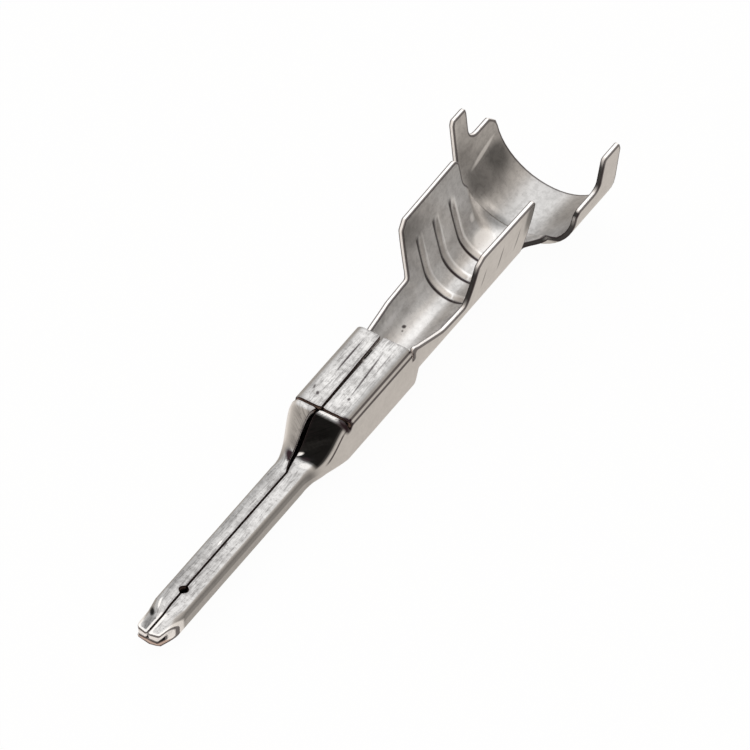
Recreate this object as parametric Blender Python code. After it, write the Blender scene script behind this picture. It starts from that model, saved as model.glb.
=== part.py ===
"""Crimp pin contact, folded from one strip of tin-plated sheet.

The contact lies along Y with its tip at -Y and its barrels open towards +Z. X = 0 is the seam,
Y = 0 is half of its length, and Z = 0 is the underside of the insulation barrel, which lies a
little lower than the rest. All sizes are in metres.

The strip is lofted through sections across it. Each section is one folded path: floor, bend,
wall, top bend and flap, with the sheet's own thickness between its outer and inner skin. Where
the strip is slit, the cells of the loft are left open. The wings are then trimmed to their side
view, as a blanking punch would have left them.
"""

from dataclasses import astuple, dataclass, replace
import math

import bmesh
import bpy
from mathutils import Matrix, Vector

STOCK = 0.15e-3
INNER_FILLET = 0.03e-3

# Blade
BLADE_WIDTH = 1.00e-3
BLADE_HEIGHT = 0.64e-3
BLADE_LENGTH = 6.65e-3
BLADE_CORNER = 0.12e-3
BLADE_SEAM = 0.05e-3
HOLE_DIAMETER = 0.26e-3
HOLE_FROM_TIP = 1.68e-3

# Tip of the blade, pressed nearly flat, rounded on top and cut off at both corners
TIP_LENGTH = 0.70e-3
TIP_WIDTH = 0.67e-3
TIP_SHIFT = -0.06e-3
TIP_HEIGHT = 0.40e-3
TIP_FLOOR_RISE = 0.05e-3
TIP_REAR_HEIGHT = 0.57e-3
TIP_TOP_ROUNDING = 0.24e-3
TIP_ROUNDING_LENGTH = 0.35e-3

# Shoulder between blade and box
SHOULDER_LENGTH = 1.70e-3
SHOULDER_FLAP_START = 0.45e-3
SHOULDER_LEVEL = 0.15e-3
SHOULDER_HEIGHT = 1.56e-3
SHOULDER_SEAM = 0.12e-3
SHOULDER_SEAM_SHIFT = -0.08e-3
SHOULDER_SEAM_BULGE = 0.08e-3
SHOULDER_SEAM_BOW = -0.16e-3
SHOULDER_BEND_BULGE = 0.12e-3
FLAP_SKEW = 1.6

# Box
BOX_WIDTH = 1.83e-3
BOX_HEIGHT = 1.59e-3
BOX_LENGTH = 3.05e-3
BOX_CORNER = 0.26e-3
BOX_SEAM_FRONT = 0.06e-3
BOX_SEAM_REAR = 0.11e-3
BOX_SEAM_SHIFT_FRONT = -0.02e-3
BOX_SEAM_SHIFT_REAR = -0.07e-3
FRONT_SLIT = 0.06e-3
REAR_SLIT = 0.08e-3
REAR_SLIT_DEPTH = 0.40e-3
RELIEF_DIAMETER = 0.24e-3
RELIEF_DROP = 0.16e-3

# Open channel behind the box
CHANNEL_LENGTH = 2.60e-3
CHANNEL_ROUNDING_LENGTH = 0.25e-3
CHANNEL_WALL_HEIGHT = 1.07e-3
CHANNEL_SLOPE_LENGTH = 1.40e-3
LEFT_CHANNEL_START = 0.75e-3
CHANNEL_START_FILLET = 0.05e-3
CHANNEL_SLOPE_FILLET = 0.60e-3

# Wire barrel
WIRE_LENGTH = 2.75e-3
WIRE_RADIUS = 0.95e-3
WIRE_HEIGHT = 2.90e-3
WIRE_LEAN_FRONT = math.radians(14.0)
WIRE_LEAN_REAR = math.radians(15.0)
WIRE_CURL = math.radians(7.0)
WIRE_CHAMFER = 0.24e-3
WIRE_REAR_ROUND = 0.14e-3
WIRE_FOOT_LEAD = 0.16e-3
WIRE_FOOT_FILLET = 0.12e-3
WIRE_TOP_FILLET = 0.06e-3
GROOVE_COUNT = 3
GROOVE_FIRST = 0.62e-3
GROOVE_PITCH = 0.82e-3
GROOVE_WIDTH = 0.20e-3
GROOVE_FLAT_SHARE = 1.0 / 3.0
GROOVE_DEPTH = 0.07e-3
GROOVE_TOP = 2.05e-3

# Strip between the two barrels
LINK_LENGTH = 1.03e-3
LINK_FLARE_LENGTH = 0.72e-3
LINK_STEP_LENGTH = 0.08e-3
LINK_WALL_HEIGHT = 0.45e-3
LINK_FILLET = 0.12e-3

# The left wing of the wire barrel reaches further back and slopes down to the insulation barrel
LEFT_WING_REACH = 0.16e-3
LEFT_WING_ROUND = 0.22e-3
LEFT_SLOPE_TOP = 2.02e-3
LEFT_SLOPE_BOTTOM = 0.72e-3
LEFT_SLOPE_FILLET = 0.30e-3

# Insulation barrel
INSULATION_LENGTH = 2.02e-3
INSULATION_RADIUS = 2.02e-3
INSULATION_DROP = 0.27e-3
INSULATION_LEAN = math.radians(6.8)
INSULATION_SKEW = math.radians(1.3)
INSULATION_HEIGHT = 3.33e-3
PRONG_CHAMFER = 0.09e-3
PRONG_TOP_FILLET = 0.04e-3
LEFT_PRONG_FILLET = 0.45e-3
RIGHT_PRONG_FILLET = 0.26e-3
LEFT_PRONG_START = 0.03e-3
LEFT_PRONG_LENGTH = 0.66e-3
LEFT_STEP_HEIGHT = 2.08e-3
LEFT_REAR_CHAMFER = 0.32e-3
RIGHT_PRONG_START = 1.12e-3
RIGHT_PRONG_LENGTH = 0.74e-3
RIGHT_STEP_HEIGHT = 2.05e-3
RIGHT_FRONT_CHAMFER = 0.17e-3
RIGHT_REAR_TAPER = 0.05e-3

# Stations along the strip, measured from the tip
SHOULDER_FRONT = BLADE_LENGTH
SHOULDER_REAR = SHOULDER_FRONT + SHOULDER_LENGTH
BOX_FRONT = SHOULDER_REAR + FRONT_SLIT
BOX_REAR = BOX_FRONT + BOX_LENGTH
CHANNEL_FRONT = BOX_REAR + REAR_SLIT
WIRE_FRONT = CHANNEL_FRONT + CHANNEL_LENGTH
WIRE_REAR = WIRE_FRONT + WIRE_LENGTH
INSULATION_FRONT = WIRE_REAR + LINK_LENGTH
LENGTH = INSULATION_FRONT + INSULATION_LENGTH
FLOOR = INSULATION_DROP

# Room that a cutter leaves beyond the walls it trims
TRIM_MARGIN = 0.30e-3

# The largest share of an outline's side that a fillet may take
FILLET_SHARE = 0.45

# Edges bent by more than this are drawn sharp
SHARP_ANGLE = math.radians(30.0)

# Rows of the loft where the section changes
SHOULDER_ROWS = 12
CHANNEL_ROWS = 5
FLARE_ROWS = 8

# Divisions of one half of a section
BEND_STEPS = 8
LOWER_WALL_STEPS = 3
UPPER_WALL_STEPS = 1
TOP_BEND_STEPS = 4

# Divisions of a rounded corner of an outline, and of a drill
ARC_STEPS = 5
DRILL_STEPS = 24


@dataclass
class Section:
    """One fold of the strip, seen along Y. The left half mirrors the right half."""
    floor: float
    half_floor: float
    bend: float
    lean: float
    skew: float
    curl: float
    mark: float
    wall_top: float
    top_bend: float
    half_seam: float
    seam_shift: float
    stock: float


def blend(first, second, share):
    """The section a share of the way from the first to the second."""
    pairs = zip(astuple(first), astuple(second))
    return Section(*[a + (b - a) * share for a, b in pairs])


def ease(share):
    """A smooth S curve from 0 to 1."""
    share = min(max(share, 0.0), 1.0)
    return share * share * (3.0 - 2.0 * share)


def closed_section(width, height, corner, seam, floor, mark=None, shift=0.0, top_corner=None):
    """A folded tube with its seam on top, shifted sideways where the flaps are unequal.

    The mark is a height on the wall, its middle unless given. The top corner is as round as
    the lower one unless given.
    """
    if top_corner is None:
        top_corner = corner
    wall_top = floor + height - top_corner
    if mark is None:
        mark = (floor + corner + wall_top) / 2.0
    half_floor = width / 2.0 - corner
    return Section(
        floor=floor, half_floor=half_floor, bend=corner, lean=0.0, skew=0.0, curl=0.0, mark=mark,
        wall_top=wall_top, top_bend=top_corner, half_seam=seam / 2.0, seam_shift=shift, stock=STOCK)


def open_section(floor, radius, mark, wall_top, lean=0.0, curl=0.0, skew=0.0):
    """An open trough with a round floor and leaning walls. A skew leans both walls to the right."""
    return Section(
        floor=floor, half_floor=0.0, bend=radius, lean=lean, skew=skew, curl=curl, mark=mark,
        wall_top=wall_top, top_bend=BOX_CORNER, half_seam=BOX_SEAM_REAR / 2.0, seam_shift=0.0, stock=STOCK)


TIP = closed_section(
    BLADE_WIDTH, TIP_HEIGHT, BLADE_CORNER, BLADE_SEAM, FLOOR + TIP_FLOOR_RISE, shift=TIP_SHIFT)
TIP_REAR = closed_section(
    BLADE_WIDTH, TIP_REAR_HEIGHT, BLADE_CORNER, BLADE_SEAM, FLOOR, top_corner=TIP_TOP_ROUNDING)
BLADE = closed_section(BLADE_WIDTH, BLADE_HEIGHT, BLADE_CORNER, BLADE_SEAM, FLOOR)
REAR_MARK = FLOOR + BOX_HEIGHT - REAR_SLIT_DEPTH
BOX = closed_section(
    BOX_WIDTH, BOX_HEIGHT, BOX_CORNER, BOX_SEAM_FRONT, FLOOR, REAR_MARK, BOX_SEAM_SHIFT_FRONT)
BOX_END = replace(BOX, half_seam=BOX_SEAM_REAR / 2.0, seam_shift=BOX_SEAM_SHIFT_REAR)
WALL_LIMIT = INSULATION_HEIGHT + TRIM_MARGIN
CHANNEL_START = replace(BOX_END, wall_top=WALL_LIMIT)
CHANNEL = open_section(FLOOR, WIRE_RADIUS, REAR_MARK, WALL_LIMIT)
GROOVE_MARK = FLOOR + GROOVE_TOP
WIRE_START = open_section(FLOOR, WIRE_RADIUS, GROOVE_MARK, WALL_LIMIT, WIRE_LEAN_FRONT, WIRE_CURL)
WIRE_END = replace(WIRE_START, lean=WIRE_LEAN_REAR)
INSULATION = open_section(
    0.0, INSULATION_RADIUS, GROOVE_MARK, WALL_LIMIT, INSULATION_LEAN, skew=INSULATION_SKEW)
RAISED_INSULATION = replace(INSULATION, floor=FLOOR)


def shoulder_section(share):
    """The shoulder widens over its whole length, and its flaps rise and part in its later half."""
    rise_length = SHOULDER_LENGTH - SHOULDER_FLAP_START - SHOULDER_LEVEL
    rise_share = (share * SHOULDER_LENGTH - SHOULDER_FLAP_START) / rise_length
    wide = ease(share)
    rise = ease(max(rise_share, 0.0) ** FLAP_SKEW)
    bulge = 4.0 * share * (1.0 - share)
    width = BLADE_WIDTH + (BOX_WIDTH - BLADE_WIDTH) * wide
    height = BLADE_HEIGHT + (SHOULDER_HEIGHT - BLADE_HEIGHT) * rise
    corner = BLADE_CORNER + (BOX_CORNER - BLADE_CORNER) * wide + SHOULDER_BEND_BULGE * bulge
    corner = min(corner, (height - STOCK) / 2.0)
    seam = BLADE_SEAM + (SHOULDER_SEAM - BLADE_SEAM) * wide + SHOULDER_SEAM_BULGE * bulge
    shift = SHOULDER_SEAM_SHIFT * wide + SHOULDER_SEAM_BOW * bulge
    return closed_section(width, height, corner, seam, FLOOR, shift=shift)


def shares(count):
    """Evenly spaced shares above 0, up to 1."""
    return [(index + 1) / count for index in range(count)]


def groove_stations():
    """The edges and the flat bottom of each groove, with the depth there."""
    half_width = GROOVE_WIDTH / 2.0
    half_flat = half_width * GROOVE_FLAT_SHARE
    stations = []
    for index in range(GROOVE_COUNT):
        centre = WIRE_FRONT + GROOVE_FIRST + index * GROOVE_PITCH
        stations.append((centre - half_width, 0.0))
        stations.append((centre - half_flat, GROOVE_DEPTH))
        stations.append((centre + half_flat, GROOVE_DEPTH))
        stations.append((centre + half_width, 0.0))
    return stations


def strip_rows():
    """Each row of the loft: its station, its section and the groove depth there."""
    rows = [
        (0.0, TIP, 0.0),
        (TIP_LENGTH, TIP_REAR, 0.0),
        (TIP_LENGTH + TIP_ROUNDING_LENGTH, BLADE, 0.0),
        (SHOULDER_FRONT, BLADE, 0.0),
    ]
    for share in shares(SHOULDER_ROWS):
        rows.append((SHOULDER_FRONT + share * SHOULDER_LENGTH, shoulder_section(share), 0.0))
    rows.append((BOX_FRONT, BOX, 0.0))
    rows.append((BOX_REAR, BOX_END, 0.0))
    rows.append((CHANNEL_FRONT, CHANNEL_START, 0.0))
    for share in shares(CHANNEL_ROWS):
        rounded = blend(CHANNEL_START, CHANNEL, ease(share))
        rows.append((CHANNEL_FRONT + share * CHANNEL_ROUNDING_LENGTH, rounded, 0.0))
    opening_start = CHANNEL_FRONT + CHANNEL_ROUNDING_LENGTH
    for share in shares(CHANNEL_ROWS):
        opened = blend(CHANNEL, WIRE_START, ease(share))
        rows.append((opening_start + share * (WIRE_FRONT - opening_start), opened, 0.0))
    for station, depth in groove_stations():
        rows.append((station, blend(WIRE_START, WIRE_END, (station - WIRE_FRONT) / WIRE_LENGTH), depth))
    rows.append((WIRE_REAR, WIRE_END, 0.0))
    step_start = INSULATION_FRONT - LINK_STEP_LENGTH
    flare_start = step_start - LINK_FLARE_LENGTH
    rows.append((flare_start, WIRE_END, 0.0))
    for share in shares(FLARE_ROWS):
        flared = blend(WIRE_END, RAISED_INSULATION, ease(share))
        rows.append((flare_start + share * LINK_FLARE_LENGTH, flared, 0.0))
    rows.append((INSULATION_FRONT, INSULATION, 0.0))
    rows.append((LENGTH, INSULATION, 0.0))
    return rows


def trace(start, pieces):
    """Follow straight runs and arcs, turning left, and return the points passed on the way.

    A piece is (length, turn, stops), where stops are the shares of it at which a point is kept.
    """
    x, z = start
    heading = 0.0
    points = [(x, z)]
    for length, turn, stops in pieces:
        for stop in stops:
            bent = turn * stop
            if abs(turn) < 1e-9:
                along, across = length * stop, 0.0
            else:
                radius = length / turn
                along, across = radius * math.sin(bent), radius * (1.0 - math.cos(bent))
            px = x + along * math.cos(heading) - across * math.sin(heading)
            pz = z + along * math.sin(heading) + across * math.cos(heading)
            points.append((px, pz))
        x, z = points[-1]
        heading += turn
    return points


def wall_length(section, start_height, heading):
    """The length of a wall that climbs to its top while it turns upright by its curl."""
    climb = section.wall_top - start_height
    if section.curl < 1e-9:
        return climb / math.sin(heading)
    return climb * section.curl / (math.cos(heading) - math.cos(heading + section.curl))


def half_paths(section, side):
    """Outer and inner path of one half, from the middle of the floor to the seam."""
    turn = math.pi / 2.0 - section.lean - section.skew * side
    outer_bend = section.bend
    inner_bend = max(outer_bend - section.stock, INNER_FILLET)
    inner_top = max(section.top_bend - section.stock, INNER_FILLET)
    low_take = (outer_bend - section.stock - inner_bend) * math.tan(turn / 2.0)
    top_take = section.top_bend - section.stock - inner_top

    wall_start = section.floor + outer_bend * (1.0 - math.cos(turn))
    wall = wall_length(section, wall_start, turn)
    inner_wall = wall - section.stock * section.curl + low_take + top_take
    mark = (section.mark - wall_start) / (section.wall_top - wall_start)
    stops = [mark * share for share in shares(LOWER_WALL_STEPS)]
    stops += [mark + (1.0 - mark) * share for share in shares(UPPER_WALL_STEPS)]

    reach = section.half_floor + outer_bend - section.top_bend
    flap = reach - section.half_seam - section.seam_shift * side
    quarter = math.pi / 2.0
    outer = trace((0.0, section.floor), [
        (section.half_floor, 0.0, [1.0]),
        (outer_bend * turn, turn, shares(BEND_STEPS)),
        (wall, section.curl, stops),
        (section.top_bend * quarter, quarter, shares(TOP_BEND_STEPS)),
        (flap, 0.0, [1.0]),
    ])
    inner = trace((0.0, section.floor + section.stock), [
        (section.half_floor + low_take, 0.0, [1.0]),
        (inner_bend * turn, turn, shares(BEND_STEPS)),
        (inner_wall, section.curl, stops),
        (inner_top * quarter, quarter, shares(TOP_BEND_STEPS)),
        (flap + top_take, 0.0, [1.0]),
    ])
    return outer, inner


MARK_COLUMN = 1 + BEND_STEPS + LOWER_WALL_STEPS
WALL_END_COLUMN = MARK_COLUMN + UPPER_WALL_STEPS
HALF_COLUMNS = WALL_END_COLUMN + TOP_BEND_STEPS + 1


def sink_groove(outer, inner, depth):
    """Press a groove into the inner skin, up to the height mark of the wall."""
    for column in range(MARK_COLUMN):
        share = depth / math.dist(outer[column], inner[column])
        inner[column] = tuple(i + (o - i) * share for i, o in zip(inner[column], outer[column]))


def cell_is_sheet(front, rear, column):
    """Whether the cell between two stations holds metal, by its column from the middle."""
    if column >= WALL_END_COLUMN:
        in_blade = rear <= SHOULDER_REAR
        in_box = front >= BOX_FRONT and rear <= BOX_REAR
        return in_blade or in_box
    if column >= MARK_COLUMN:
        return not (front >= BOX_REAR and rear <= CHANNEL_FRONT)
    return True


def build_strip():
    """Loft the outer and the inner skin through all rows and close every open edge between them."""
    rows = strip_rows()
    mesh = bmesh.new()
    skins = {"outer": [], "inner": []}
    for station, section, depth in rows:
        left_paths = half_paths(section, -1.0)
        right_paths = half_paths(section, 1.0)
        sink_groove(*left_paths, depth)
        sink_groove(*right_paths, depth)
        y = station - LENGTH / 2.0
        for skin, left_path, right_path in zip(("outer", "inner"), left_paths, right_paths):
            left = [mesh.verts.new((-x, y, z)) for x, z in reversed(left_path[1:])]
            right = [mesh.verts.new((x, y, z)) for x, z in right_path]
            skins[skin].append(left + right)

    outer, inner = skins["outer"], skins["inner"]
    partner = {}
    for outer_row, inner_row in zip(outer, inner):
        partner.update(zip(outer_row, inner_row))

    walls = []
    for index in range(len(rows) - 1):
        front, rear = rows[index][0], rows[index + 1][0]
        for cell in range(2 * HALF_COLUMNS):
            from_middle = cell - HALF_COLUMNS if cell >= HALF_COLUMNS else HALF_COLUMNS - 1 - cell
            if not cell_is_sheet(front, rear, from_middle):
                continue
            corners = (outer[index][cell], outer[index + 1][cell],
                       outer[index + 1][cell + 1], outer[index][cell + 1])
            walls.append(mesh.faces.new(corners))
    rims = [edge for edge in mesh.edges if len(edge.link_faces) == 1]
    rim_pairs = [(loop.vert, loop.link_loop_next.vert) for edge in rims for loop in edge.link_loops]
    for face in walls:
        mesh.faces.new([partner[vert] for vert in reversed(face.verts)])
    for first, second in rim_pairs:
        mesh.faces.new((second, first, partner[first], partner[second]))
    bmesh.ops.delete(mesh, geom=[vert for vert in mesh.verts if not vert.link_faces], context="VERTS")

    data = bpy.data.meshes.new("contact")
    mesh.to_mesh(data)
    mesh.free()
    return data


def fillet(corners):
    """Points of an open outline whose corners (y, z, radius) are rounded by arcs."""
    points = [Vector(corners[0][:2])]
    for before, corner, after in zip(corners, corners[1:], corners[2:]):
        tip = Vector(corner[:2])
        to_before = (Vector(before[:2]) - tip).normalized()
        to_after = (Vector(after[:2]) - tip).normalized()
        half = to_before.angle(to_after) / 2.0
        radius = corner[2]
        if radius <= 0.0:
            points.append(tip)
            continue
        shorter_side = min((Vector(before[:2]) - tip).length, (Vector(after[:2]) - tip).length)
        radius = min(radius, FILLET_SHARE * shorter_side * math.tan(half))
        centre = tip + (to_before + to_after).normalized() * radius / math.sin(half)
        start = tip + to_before * radius / math.tan(half) - centre
        sweep = (math.pi - 2.0 * half) * math.copysign(1.0, to_before.cross(to_after))
        for step in range(ARC_STEPS + 1):
            turned = Matrix.Rotation(-sweep * step / ARC_STEPS, 2) @ start
            points.append(centre + turned)
    points.append(Vector(corners[-1][:2]))
    return [(point.x, point.y) for point in points]


def front_outline(channel_start):
    """Side view of a wall's top from the box to its wing, by the channel's height at the box."""
    box_top = FLOOR + BOX_HEIGHT
    channel_top = FLOOR + CHANNEL_WALL_HEIGHT
    wing_top = FLOOR + WIRE_HEIGHT
    slit_middle = CHANNEL_FRONT - REAR_SLIT / 2.0
    slope_end = CHANNEL_FRONT + CHANNEL_SLOPE_LENGTH
    return [
        (slit_middle, box_top + TRIM_MARGIN, 0.0),
        (slit_middle, FLOOR + channel_start, CHANNEL_START_FILLET),
        (slope_end, channel_top, CHANNEL_SLOPE_FILLET),
        (WIRE_FRONT - WIRE_FOOT_LEAD, channel_top, WIRE_FOOT_FILLET),
        (WIRE_FRONT, wing_top - WIRE_CHAMFER, WIRE_TOP_FILLET),
        (WIRE_FRONT + WIRE_CHAMFER, wing_top, WIRE_TOP_FILLET),
    ]


def left_outline():
    """Side view of the left wall: a prong at the front of the insulation barrel, then a low step."""
    wing_rear = WIRE_REAR + LEFT_WING_REACH
    prong_front = INSULATION_FRONT + LEFT_PRONG_START
    prong_rear = prong_front + LEFT_PRONG_LENGTH
    return front_outline(LEFT_CHANNEL_START) + [
        (wing_rear, FLOOR + WIRE_HEIGHT, LEFT_WING_ROUND),
        (wing_rear, FLOOR + LEFT_SLOPE_TOP, LEFT_SLOPE_FILLET),
        (INSULATION_FRONT, FLOOR + LEFT_SLOPE_BOTTOM, LINK_FILLET),
        (prong_front, INSULATION_HEIGHT - PRONG_CHAMFER, PRONG_TOP_FILLET),
        (prong_front + PRONG_CHAMFER, INSULATION_HEIGHT, PRONG_TOP_FILLET),
        (prong_rear, INSULATION_HEIGHT, PRONG_CHAMFER),
        (prong_rear, LEFT_STEP_HEIGHT, LEFT_PRONG_FILLET),
        (LENGTH - LEFT_REAR_CHAMFER, LEFT_STEP_HEIGHT, PRONG_CHAMFER),
        (LENGTH, LEFT_STEP_HEIGHT - LEFT_REAR_CHAMFER, 0.0),
        (LENGTH + TRIM_MARGIN, LEFT_STEP_HEIGHT - LEFT_REAR_CHAMFER, 0.0),
    ]


def right_outline():
    """Side view of the right wall: a low step first, then a prong at the rear of the barrel."""
    prong_front = INSULATION_FRONT + RIGHT_PRONG_START
    prong_rear = prong_front + RIGHT_PRONG_LENGTH
    taper_end = INSULATION_HEIGHT / 2.0
    return front_outline(BOX_HEIGHT) + [
        (WIRE_REAR, FLOOR + WIRE_HEIGHT, WIRE_REAR_ROUND),
        (WIRE_REAR, FLOOR + LINK_WALL_HEIGHT, LINK_FILLET),
        (INSULATION_FRONT, FLOOR + LINK_WALL_HEIGHT, LINK_FILLET),
        (INSULATION_FRONT, RIGHT_STEP_HEIGHT - RIGHT_FRONT_CHAMFER, PRONG_TOP_FILLET),
        (INSULATION_FRONT + RIGHT_FRONT_CHAMFER, RIGHT_STEP_HEIGHT, PRONG_TOP_FILLET),
        (prong_front, RIGHT_STEP_HEIGHT, RIGHT_PRONG_FILLET),
        (prong_front, INSULATION_HEIGHT, PRONG_CHAMFER),
        (prong_rear, INSULATION_HEIGHT, PRONG_TOP_FILLET),
        (LENGTH - RIGHT_REAR_TAPER, INSULATION_HEIGHT - RIGHT_PRONG_FILLET, RIGHT_PRONG_FILLET),
        (LENGTH, taper_end, 0.0),
        (LENGTH + TRIM_MARGIN, taper_end, 0.0),
    ]


def swept_cutter(name, points, sweep):
    """A block with the given points around one end, swept to the other end."""
    mesh = bmesh.new()
    face = mesh.faces.new([mesh.verts.new(point) for point in points])
    swept = bmesh.ops.extrude_face_region(mesh, geom=[face])
    moved = [item for item in swept["geom"] if isinstance(item, bmesh.types.BMVert)]
    bmesh.ops.translate(mesh, vec=sweep, verts=moved)
    bmesh.ops.recalc_face_normals(mesh, faces=mesh.faces)
    data = bpy.data.meshes.new(name)
    mesh.to_mesh(data)
    mesh.free()
    return bpy.data.objects.new(name, data)


def trim_cutter(name, outline, side):
    """A block over one wall, whose underside is the outline of the wall's top."""
    around = fillet(outline)
    ceiling = WALL_LIMIT + TRIM_MARGIN
    around += [(around[-1][0], ceiling), (around[0][0], ceiling)]
    points = [(0.0, y - LENGTH / 2.0, z) for y, z in around]
    return swept_cutter(name, points, (2.0 * INSULATION_RADIUS * side, 0.0, 0.0))


def tip_cutter(name, side):
    """A block that cuts one corner off the tip, seen from above."""
    front, rear = TIP_WIDTH / 2.0 + TIP_SHIFT * side, BLADE_WIDTH / 2.0
    slope = (rear - front) / TIP_LENGTH
    corners = [
        (front - slope * TRIM_MARGIN, -TRIM_MARGIN),
        (rear + slope * TRIM_MARGIN, TIP_LENGTH + TRIM_MARGIN),
        (rear + TRIM_MARGIN, -TRIM_MARGIN),
    ]
    points = [(x * side, y - LENGTH / 2.0, FLOOR - TRIM_MARGIN) for x, y in corners]
    return swept_cutter(name, points, (0.0, 0.0, BLADE_HEIGHT + 2.0 * TRIM_MARGIN))


def round_cutter(name, diameter, depth, location, rotation):
    """A drill of the given diameter, centred on its location."""
    bpy.ops.mesh.primitive_cylinder_add(
        vertices=DRILL_STEPS, radius=diameter / 2.0, depth=depth, location=location, rotation=rotation)
    drill = bpy.context.active_object
    drill.name = name
    for collection in list(drill.users_collection):
        collection.objects.unlink(drill)
    return drill


def make_cutters():
    """The seam hole, the two corner reliefs, the cuts at the tip and the trimming of both walls."""
    half_length = LENGTH / 2.0
    hole_depth = BLADE_HEIGHT
    hole = round_cutter(
        "seam_hole", HOLE_DIAMETER, hole_depth,
        (0.0, HOLE_FROM_TIP - half_length, FLOOR + BLADE_HEIGHT / 2.0 + hole_depth / 2.0), (0.0, 0.0, 0.0))
    relief = round_cutter(
        "corner_relief", RELIEF_DIAMETER, 2.0 * BOX_WIDTH,
        (0.0, SHOULDER_REAR + FRONT_SLIT / 2.0 - half_length, FLOOR + BOX_HEIGHT - RELIEF_DROP),
        (0.0, math.pi / 2.0, 0.0))
    left_tip = tip_cutter("left_tip_cut", -1.0)
    right_tip = tip_cutter("right_tip_cut", 1.0)
    left = trim_cutter("left_trim", left_outline(), -1.0)
    right = trim_cutter("right_trim", right_outline(), 1.0)
    return [hole, relief, left_tip, right_tip, left, right]


def tin_plate():
    """Bright tin plating."""
    material = bpy.data.materials.new("tin_plate")
    material.use_nodes = True
    shader = material.node_tree.nodes["Principled BSDF"]
    shader.inputs["Base Color"].default_value = (0.73, 0.71, 0.68, 1.0)
    shader.inputs["Roughness"].default_value = 0.32
    shader.inputs["Metallic"].default_value = 1.0
    return material


def main():
    """Build the contact in its own collection, and its cutters in another."""
    for old in list(bpy.data.objects):
        bpy.data.objects.remove(old, do_unlink=True)
    parts = bpy.data.collections.new("crimp_pin_contact")
    tools = bpy.data.collections.new("cutters")
    bpy.context.scene.collection.children.link(parts)
    bpy.context.scene.collection.children.link(tools)

    contact = bpy.data.objects.new("contact", build_strip())
    parts.objects.link(contact)
    contact.data.materials.append(tin_plate())
    for cutter in make_cutters():
        tools.objects.link(cutter)
        cutter.hide_render = True
        cutter.display_type = "WIRE"
        cut = contact.modifiers.new(cutter.name, "BOOLEAN")
        cut.operation = "DIFFERENCE"
        cut.solver = "EXACT"
        cut.object = cutter
    contact.data.shade_smooth()
    contact.data.set_sharp_from_angle(angle=SHARP_ANGLE)


main()
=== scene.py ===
"""Looks of the crimp pin contact: its folded sheet in fine detail, its tin plating and its stage."""

import math

import bpy
import numpy as np
from bpy.props import FloatProperty, FloatVectorProperty, IntProperty, PointerProperty
from bpy.types import Operator, Panel, PropertyGroup
from mathutils import Matrix, Vector


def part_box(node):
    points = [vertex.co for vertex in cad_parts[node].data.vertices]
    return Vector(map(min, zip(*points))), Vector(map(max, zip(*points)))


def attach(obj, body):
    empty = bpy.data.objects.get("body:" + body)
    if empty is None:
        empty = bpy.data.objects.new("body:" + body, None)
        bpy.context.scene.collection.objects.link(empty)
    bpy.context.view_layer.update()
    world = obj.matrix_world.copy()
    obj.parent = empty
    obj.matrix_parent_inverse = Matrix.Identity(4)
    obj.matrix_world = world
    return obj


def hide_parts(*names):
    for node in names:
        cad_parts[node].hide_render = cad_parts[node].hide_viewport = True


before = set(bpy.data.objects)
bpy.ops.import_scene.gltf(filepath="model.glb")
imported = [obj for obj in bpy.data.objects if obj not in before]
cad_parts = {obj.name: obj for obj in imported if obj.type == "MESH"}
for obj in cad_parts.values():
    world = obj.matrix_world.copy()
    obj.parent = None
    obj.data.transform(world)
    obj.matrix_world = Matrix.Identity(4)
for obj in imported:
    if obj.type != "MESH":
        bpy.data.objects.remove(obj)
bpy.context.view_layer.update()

bl_info = {
    "name": "Crimp pin contact",
    "version": (1, 0, 0),
    "blender": (4, 5, 0),
    "location": "View3D > Sidebar > Contact",
    "description": "Builds a folded pin contact with crimp barrels, its plating and a studio stage",
    "category": "Object",
}

MM = 1.0e-3
CAD_LOW, CAD_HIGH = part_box("contact")
HEIGHT = CAD_HIGH.z - CAD_LOW.z


def size(millimetres, description):
    """A length property, its default given in millimetres."""
    return FloatProperty(description=description, default=millimetres * MM, unit="LENGTH", precision=6)


def angle(degrees, description):
    """An angle property, its default given in degrees."""
    return FloatProperty(description=description, default=math.radians(degrees), subtype="ANGLE")


def colour(rgb, description):
    """A colour property."""
    return FloatVectorProperty(
        description=description, default=rgb, size=3, min=0.0, max=1.0, subtype="COLOR")


def share(value, description):
    """A plain number."""
    return FloatProperty(description=description, default=value)


def named(group):
    """Name each property of a group after its attribute."""
    for attribute, entry in group.__annotations__.items():
        entry.keywords["name"] = attribute.replace("_", " ").capitalize()
    return group


@named
class SheetSizes(PropertyGroup):
    """The strip that the contact is folded from."""
    stock: size(0.15, "Thickness of the sheet")
    inner_fillet: size(0.03, "Smallest radius inside a bend")
    edge_round: size(0.026, "Rounding of the sheared edges")
    seam_round: size(0.009, "Rounding of the edges beside a seam")
    waviness: size(0.0022, "Height of the sheet's faint waves")


@named
class BladeSizes(PropertyGroup):
    """The folded blade and its pressed tip."""
    width: size(1.00, "Width of the blade")
    height: size(0.64, "Height of the blade")
    length: size(6.65, "Length from the tip to the shoulder")
    corner: size(0.12, "Outer radius of the blade's bends")
    seam: size(0.05, "Gap between the two flaps")
    hole: size(0.26, "Diameter of the hole in the seam")
    hole_from_tip: size(1.68, "Distance of the hole from the tip")
    tip_length: size(0.70, "Length of the pressed tip")
    tip_width: size(0.67, "Width left at the very tip between the two cut corners")
    tip_shift: size(-0.06, "Sideways place of the very tip and its seam")
    tip_height: size(0.40, "Height at the very tip")
    tip_floor_rise: size(0.05, "How far the tip's floor is pressed up")
    tip_rear_height: size(0.57, "Height behind the cut corners")
    tip_rounding: size(0.24, "Radius of the top bends behind the cut corners")
    tip_rounding_length: size(0.35, "Length over which that radius fades")
    tip_squeeze: size(0.046, "How far the inner skin swells at the pressed tip")


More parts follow.
